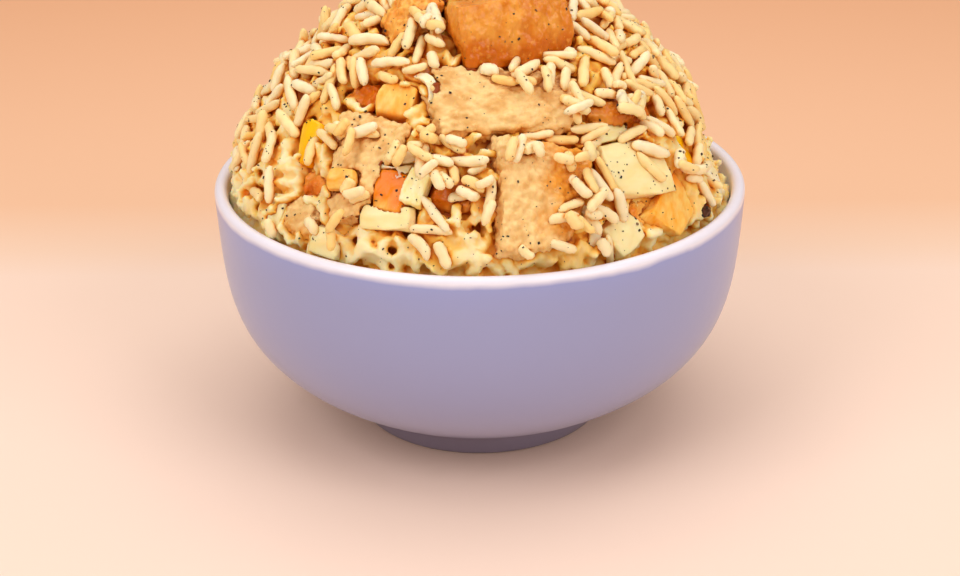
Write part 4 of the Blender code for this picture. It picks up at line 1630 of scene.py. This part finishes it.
    def build_bed(self) -> bpy.types.Object:
        """Runs the dressed grains and the core together.

        Returns:
            The bed.
        """
        coated = Grains(self.mould, 31)
        self.pour(self.COATED_POUR, coated, crisp=False)
        LOG.info("dressed grains: %d", coated.number)
        curds = Grains(self.curd_mould, 33)
        self.pour(self.CURD_POUR, curds, crisp=False)
        LOG.info("curds: %d", curds.number)
        grains = coated.make("dressed_grains")
        fillings = [self.filling(topping) for topping in TOPPINGS]
        fillings.append(curds.make("dressed_curds"))
        core = self.core()
        make_active(core)
        grains.select_set(True)
        for filling in fillings:
            filling.select_set(True)
        bpy.ops.object.join()
        core.name = "dressed_rice_bed"
        apply_modifier(core, "REMESH", mode="VOXEL", voxel_size=self.VOXEL, use_smooth_shade=True)
        apply_modifier(core, "DISPLACE", strength=-self.SWELL, mid_level=0.0)
        apply_modifier(core, "SMOOTH", factor=0.5, iterations=1)
        for relief in self.BED_RELIEFS:
            roughen(core, relief)
        triangles = 2 * len(core.data.polygons)
        LOG.info("bed before thinning: %d triangles", triangles)
        if triangles > self.BED_FACES:
            apply_modifier(core, "DECIMATE", ratio=self.BED_FACES / triangles)
        core.data.validate()
        smooth_shaded(core)
        return finish_piece(core, CoatedRice().get(), "rice", "rice_heap")

    def build_crisp(self) -> bpy.types.Object:
        """Lays the grains and clumps that the photograph shows, and pours the rest round them.

        Returns:
            All the loose grains, as one piece.
        """
        crisp = Grains(self.mould, 32)
        for seen in SEEN_GRAINS:
            self.lay(seen, self.LAID_SINK, crisp)
        LOG.info("seen grains laid: %d", crisp.number)
        draw = random.Random(self.CLUMP_SEED)
        for clump in SEEN_CLUMPS:
            self.lay_clump(clump, draw, crisp)
        LOG.info("with the seen clumps: %d", crisp.number)
        self.pour(self.CRISP_POUR, crisp, crisp=True)
        LOG.info("crisp grains: %d", crisp.number)
        obj = crisp.make("loose_rice_grains")
        smooth_shaded(obj)
        return finish_piece(obj, BoiledRice().get(), "rice")


@dataclass(frozen=True)
class Topping:
    """A piece set in the heap, worked up from its solid.

    Strand is the way its fibres run. Glaze is the side that the dressing has run off, and bare
    says how much of it shows, from 0 to 1. Relief and fibre are heights in mm.
    """

    node: str
    food: Food
    strand: tuple[float, float, float] = (1.0, 0.0, 0.0)
    glaze: tuple[float, float, float] = (0.0, 0.0, -1.0)
    bare: float = 0.3
    voxel: float = 0.38
    soften: int = 3
    relief: float = 0.7
    fibre: float = 0.35
    length: float = 5.0


TOPPINGS: tuple[Topping, ...] = (
    Topping("chicken_crown", Food.GLAZED, (0.1, -0.2, 1.0), (0.0, -0.3, -1.0), 0.35, soften=2, relief=0.8),
    Topping("chicken_torn", Food.BROWNED, (0.15, -0.2, 1.0), (0.3, 0.0, -1.0), 0.30, relief=2.2, fibre=1.2),
    Topping(
        "chicken_slab", Food.COATED, (1.0, 0.0, -0.1), (0.0, 0.0, -1.0), 0.15,
        soften=3, relief=1.1, fibre=0.15, length=1.6,
    ),
    Topping("chicken_front", Food.COATED, (0.05, -0.35, 1.0), (1.0, 0.0, 0.1), 0.26, soften=3, relief=1.1),
    Topping(
        "chicken_left", Food.COATED, (0.5, -0.3, 0.8), (0.8, -0.2, -0.6), 0.10,
        soften=3, relief=1.0, fibre=0.25, length=2.6,
    ),
    Topping("chicken_right", Food.GLAZED, (1.0, 0.3, -0.2), (0.8, 0.0, -0.5), 0.40, relief=1.4),
    Topping("chicken_hollow", Food.BROWNED, (0.4, 0.0, 1.0), (0.0, 0.0, -1.0), 0.55, relief=1.4),
    Topping(
        "chicken_fibrous", Food.COATED, (0.6, -0.3, 0.7), (0.0, 0.0, -1.0), 0.35,
        relief=1.6, fibre=1.0,
    ),
    Topping("chicken_shoulder", Food.BROWNED, (0.2, 1.0, 0.3), (0.0, 0.0, -1.0), 0.30, relief=1.3),
    Topping("chicken_by_cube", Food.BROWNED, (1.0, 0.2, 0.2), (0.5, 0.0, 0.6), 0.50, relief=1.3),
    Topping("chicken_under_apple", Food.BROWNED, (0.6, 0.2, 1.0), (0.0, 0.0, -1.0), 0.35, relief=1.3),
    Topping("chicken_centre", Food.GLAZED, (1.0, 0.0, 0.2), (0.0, 0.0, 1.0), 0.45, relief=1.3),
    Topping(
        "chicken_back_right", Food.COATED, (0.6, -0.4, 0.7), (1.0, 0.0, -0.2), 0.30,
        soften=2, relief=1.0,
    ),
    Topping("chicken_back_top", Food.GLAZED, (1.0, 0.0, 0.1), (0.0, 0.0, -1.0), 0.35, soften=2, relief=0.9),
    Topping("chicken_back_low", Food.COATED, (0.3, 0.0, 1.0), (-1.0, 0.0, 0.0), 0.30, relief=1.4),
    Topping("chicken_back_left", Food.BROWNED, (0.7, 0.7, 0.3), (0.0, 0.0, -1.0), 0.30, relief=1.5),
    Topping(
        "pineapple_cube", Food.PINEAPPLE, (0.2, 0.3, 1.0), (0.2, -0.2, -1.0), 0.35,
        soften=1, relief=0.4,
    ),
    Topping("pineapple_top", Food.PINEAPPLE, (1.0, 0.0, 0.0), (0.0, 0.0, -1.0), 0.10, relief=0.6),
    Topping("pineapple_left", Food.PINEAPPLE, (0.2, 0.0, 1.0), (0.0, -0.3, 1.0), 0.55, relief=0.6),
    Topping("pineapple_bit", Food.PINEAPPLE, (1.0, 0.0, 0.0), (0.0, 0.0, -1.0), 0.05, relief=0.7),
    Topping(
        "pineapple_right", Food.PINEAPPLE, (0.4, 0.3, 1.0), (0.3, 0.0, 1.0), 0.15,
        soften=2, relief=0.6,
    ),
    Topping("pineapple_back", Food.PINEAPPLE, (0.2, 0.3, 1.0), (0.0, 0.0, -1.0), 0.30, relief=0.5),
    Topping(
        "apple_right", Food.APPLE, (1.0, 0.3, 0.1), (-0.6, 0.0, -1.0), 0.05,
        soften=3, relief=0.4, fibre=0.15,
    ),
    Topping("apple_low_right", Food.APPLE, (0.3, 0.0, 1.0), (0.0, 0.0, -1.0), 0.05, relief=0.4, fibre=0.15),
    Topping("apple_wedge", Food.APPLE, (1.0, 0.0, 0.0), (0.0, 0.0, -1.0), 0.15, relief=0.4, fibre=0.15),
    Topping("apple_low_left", Food.APPLE, (1.0, 0.0, 0.0), (1.0, 0.0, -0.4), 0.10, relief=0.5, fibre=0.15),
    Topping("apple_back", Food.APPLE, (1.0, 0.3, 0.1), (0.0, 0.0, -1.0), 0.10, relief=0.4, fibre=0.15),
    Topping("apple_back_low", Food.APPLE, (0.3, 0.0, 1.0), (0.0, 0.0, -1.0), 0.10, relief=0.4, fibre=0.15),
    Topping("celery_right", Food.CELERY, (1.0, 0.5, -0.1), (0.0, 0.0, -1.0), 0.05, 0.35, 1, 0.2, 0.25),
    Topping("celery_left", Food.CELERY, (0.2, -0.3, 1.0), (0.0, 0.0, -1.0), 0.05, 0.35, 1, 0.3, 0.25),
    Topping("celery_rim", Food.CELERY, (0.2, -0.1, 1.0), (0.0, 0.0, -1.0), 0.10, 0.35, 1, 0.3, 0.25),
    Topping("celery_back", Food.CELERY, (0.7, 0.5, 0.3), (0.0, 0.0, -1.0), 0.10, 0.35, 1, 0.3, 0.25),
    Topping("onion_middle", Food.ONION, (1.0, 0.0, 0.1), (0.0, 0.0, -1.0), 0.05, 0.30, 2, 0.2, 0.15),
    Topping("onion_below", Food.ONION, (1.0, 0.0, 0.1), (0.0, 0.0, -1.0), 0.10, 0.30, 2, 0.2, 0.15),
    Topping("onion_low", Food.ONION, (0.1, -0.2, 1.0), (0.0, 0.0, -1.0), 0.05, 0.30, 2, 0.2, 0.15),
    Topping("onion_upper", Food.ONION, (1.0, 0.0, -0.5), (0.0, 0.0, -1.0), 0.10, 0.25, 2, 0.2, 0.15),
    Topping("onion_rim", Food.ONION, (0.3, 0.0, 1.0), (0.0, 0.0, -1.0), 0.0, 0.30, 2, 0.3, 0.2),
    Topping("corn_left", Food.CORN, (0.1, 0.0, 1.0), (0.2, 0.0, -1.0), 0.25, 0.35, 14, 0.2, 0.0),
    Topping("corn_top", Food.CORN, (0.1, 0.0, 1.0), (0.0, 0.0, -1.0), 0.25, 0.30, 14, 0.2, 0.0),
    Topping("corn_shoulder", Food.CORN, (0.1, 0.0, 1.0), (0.0, 0.0, -1.0), 0.20, 0.30, 6, 0.2, 0.0),
    Topping("corn_small", Food.CORN, (0.1, 0.0, 1.0), (0.0, 0.0, -1.0), 0.20, 0.25, 6, 0.2, 0.0),
    Topping("corn_right", Food.CORN, (0.1, 0.0, 1.0), (0.0, 0.0, -1.0), 0.35, 0.35, 14, 0.2, 0.0),
    Topping("corn_back_right", Food.CORN, (0.1, 0.0, 1.0), (0.0, 0.0, -1.0), 0.25, 0.35, 14, 0.2, 0.0),
    Topping("corn_back_top", Food.CORN, (0.1, 0.0, 1.0), (0.0, 0.0, -1.0), 0.25, 0.35, 14, 0.2, 0.0),
    Topping("corn_back_left", Food.CORN, (0.1, 0.0, 1.0), (0.0, 0.0, -1.0), 0.25, 0.35, 14, 0.2, 0.0),
    Topping("raisin_right", Food.RAISIN, (1.0, 0.0, 0.0), (0.0, 0.0, -1.0), 0.3, 0.25, 2, 1.0, 0.5),
    Topping("raisin_back", Food.RAISIN, (1.0, 0.0, 0.0), (0.0, 0.0, -1.0), 0.3, 0.25, 2, 1.0, 0.5),
)


class ToppingMaker:
    """Works up the pieces in the heap from their solids."""

    STRAND_WIDTH = 1.3
    LUMPS = (6.0, 6.0, 7.0)
    FOLDS = (2.3, 2.3, 2.8)
    GRANULE = (1.7, 1.7, 2.6)
    GRIT = (0.8, 0.8, 0.9)
    GLAZE_SPREAD = 0.45
    GRANULES = {Food.COATED: 1.4, Food.GLAZED: 0.5, Food.BROWNED: 1.2}

    def build(self, topping: Topping) -> bpy.types.Object:
        """Softens one solid's edges and gives it its relief and its finish.

        Args:
            topping: Which piece, and how.

        Returns:
            The piece.
        """
        obj = copy_of_node(topping.node, topping.node + "_piece")
        along = Vector(topping.strand).normalized()
        apply_modifier(obj, "REMESH", mode="VOXEL", voxel_size=topping.voxel * MM, use_smooth_shade=True)
        apply_modifier(obj, "SMOOTH", factor=0.5, iterations=topping.soften * 2)
        for relief in self.reliefs(topping):
            roughen(obj, relief, along)
        self.mark(obj, topping, along)
        smooth_shaded(obj)
        return finish_piece(obj, FINISHES[topping.food].get(), topping.food.value, topping.node)

    def reliefs(self, topping: Topping) -> list[Relief]:
        """The piece's reliefs, coarse to fine: lumps, granules of dressing, then its fibres."""
        found = [
            Relief(self.LUMPS, topping.relief * 1.9),
            Relief(self.FOLDS, topping.relief * 0.85, 2),
        ]
        if topping.food in self.GRANULES:
            found.append(Relief(self.GRANULE, -self.GRANULES[topping.food], 0, "VORONOI_F1"))
            found.append(Relief(self.GRIT, topping.relief * 0.5))
        if topping.fibre:
            found.append(Relief((self.STRAND_WIDTH, self.STRAND_WIDTH, topping.length), topping.fibre))
        return found

    def mark(self, obj: bpy.types.Object, topping: Topping, along: Vector) -> None:
        """Writes the piece's strand coordinates and where it is glazed.

        Args:
            obj: The piece.
            topping: Which piece, and how.
            along: The way its fibres run.
        """
        points = points_of(obj)
        centred = points - points.mean(0)
        turn = np.array(along.to_track_quat("Z", "Y").to_matrix())
        size = np.array((self.STRAND_WIDTH, self.STRAND_WIDTH, topping.length)) * MM
        set_attribute(obj, STRAND, (centred @ turn) / size)
        side = np.array(Vector(topping.glaze).normalized())
        reach = centred @ side
        share = reach / max(float(np.abs(reach).max()), 1e-6)
        set_attribute(obj, GLAZED, np.clip(topping.bare + self.GLAZE_SPREAD * share, 0.0, 1.0))


class PaintedShade:
    """Finds how enclosed each place of the food is, by casting rays from it, for the painted shade in the
    finishes.
    """

    REACH = 6.0 * MM
    LIFT = 0.15 * MM
    SIDE_TILT = 55.0
    SIDES = 4
    SIDE_STEP = 0.37
    GAIN = 1.15

    def __init__(self, large: Sequence[bpy.types.Object], small: Sequence[bpy.types.Object]) -> None:
        """Gathers all that can stand over a place.

        Args:
            large: Pieces that are searched one by one.
            small: Pieces that are searched together.
        """
        graph = bpy.context.evaluated_depsgraph_get()
        self.trees = [BVHTree.FromObject(obj, graph) for obj in large]
        points, faces = [], []
        for obj in small:
            start = len(points)
            points.extend(points_of(obj).tolist())
            faces.extend([start + index for index in polygon.vertices] for polygon in obj.data.polygons)
        self.trees.append(BVHTree.FromPolygons(points, faces))

    def measure(self, obj: bpy.types.Object) -> None:
        """Writes how enclosed each point of a piece is, from 0, open, to 1, which the finishes paint as
        shade.
        """
        points, normals = points_of(obj), normals_of(obj)
        tilt = math.radians(self.SIDE_TILT)
        values = np.zeros(len(points))
        for index, (point, normal) in enumerate(zip(points, normals)):
            out = Vector(normal)
            if out.length < 0.5:
                continue
            start = Vector(point) + out * self.LIFT
            side = out.orthogonal().normalized()
            other = out.cross(side)
            total = self.cover(start, out)
            for number in range(self.SIDES):
                angle = 2.0 * math.pi * (number + self.SIDE_STEP * (index % 3)) / self.SIDES
                aside = side * math.cos(angle) + other * math.sin(angle)
                total += self.cover(start, out * math.cos(tilt) + aside * math.sin(tilt))
            values[index] = total / (self.SIDES + 1)
        set_attribute(obj, SHADE_ATTRIBUTE, np.clip(values * self.GAIN, 0.0, 1.0))

    def cover(self, start: Vector, way: Vector) -> float:
        """How much stands over a point in one direction, from 0 to 1."""
        nearest = self.REACH
        for tree in self.trees:
            _, _, _, distance = tree.ray_cast(start, way, nearest)
            if distance is not None:
                nearest = distance
        return 1.0 - nearest / self.REACH


class Pepper:
    """Cracked black pepper, scattered over all the food."""

    COUNT = 1700
    SIZES = (0.20, 0.70)
    SEED = 41
    FALL = 0.02
    RAREST = 2.5
    BREADTH = (0.5, 0.9)
    THICKNESS = (0.35, 0.6)
    CHIPPED = (0.6, 1.1)
    TURN = 6.28
    OUT = 0.3
    CORNERS = 8
    SIDES = ((0, 2, 3, 1), (4, 5, 7, 6), (0, 1, 5, 4), (2, 6, 7, 3), (0, 4, 6, 2), (1, 3, 7, 5))

    def build(self, objects: Sequence[bpy.types.Object]) -> bpy.types.Object:
        """Drops the chips on whatever lies outermost.

        Args:
            objects: The pieces they can lie on.

        Returns:
            All the chips, as one piece.
        """
        graph = bpy.context.evaluated_depsgraph_get()
        trees = [BVHTree.FromObject(obj, graph) for obj in objects]
        draw = random.Random(self.SEED)
        points, faces, tones = [], [], []
        for bearing, rise, _ in RiceHeap.places(self.COUNT, self.SEED):
            point, normal = mound_place(bearing, rise)
            start = point + normal * self.FALL
            best = None
            for tree in trees:
                hit, surface, _, distance = tree.ray_cast(start, -normal, 1.5 * self.FALL)
                if hit is not None and (best is None or distance < best[2]):
                    best = (hit, surface, distance)
            if best is None:
                continue
            self.chip(draw, best[0], best[1], points, faces)
            tones.extend([draw.random()] * self.CORNERS)
        obj = object_from("pepper_specks", np.array(points), faces)
        set_attribute(obj, TONE, np.array(tones))
        return finish_piece(obj, CrackedPepper().get(), "raisin")

    def chip(self, draw: random.Random, place: Vector, normal: Vector, points: list, faces: list) -> None:
        """Adds one angular chip.

        Args:
            draw: The chance.
            place: Where it lies.
            normal: The surface's normal there.
            points: Where its points go.
            faces: Where its faces go.
        """
        small, large = self.SIZES
        size = (small + (large - small) * draw.random() ** self.RAREST) * MM
        shape = (size, size * draw.uniform(*self.BREADTH), size * draw.uniform(*self.THICKNESS))
        spin = Matrix.Rotation(draw.uniform(0.0, self.TURN), 3, normal)
        side = (spin @ normal.orthogonal()).normalized()
        turn = Matrix((side, normal.cross(side), normal)).transposed()
        start = len(points)
        for corner in range(self.CORNERS):
            local = []
            for bit, length in zip((1, 2, 4), shape):
                sign = 1.0 if corner & bit else -1.0
                local.append(0.5 * sign * length * draw.uniform(*self.CHIPPED))
            points.append(tuple(place + normal * shape[2] * self.OUT + turn @ Vector(local)))
        for quad in self.SIDES:
            faces.append([start + index for index in quad])


def main() -> None:
    """Builds the bowl, the rice, the pieces in it and the studio, in order."""
    logging.basicConfig(level=logging.INFO, format="%(relativeCreated)6d ms %(message)s")
    studio = Studio()
    studio.build()
    bowl = Bowl().build()
    heap = RiceHeap(studio)
    bed = heap.build_bed()
    grains = heap.build_crisp()
    maker = ToppingMaker()
    toppings = [maker.build(topping) for topping in TOPPINGS]
    # Measures how enclosed each place is, for the painted shade in the finishes
    occlusion = PaintedShade([bed, grains], toppings)
    for piece in (bed, grains, *toppings):
        occlusion.measure(piece)
    LOG.info("shelter measured")
    Pepper().build([bed, grains, *toppings, bowl])


if __name__ == "__main__":
    main()
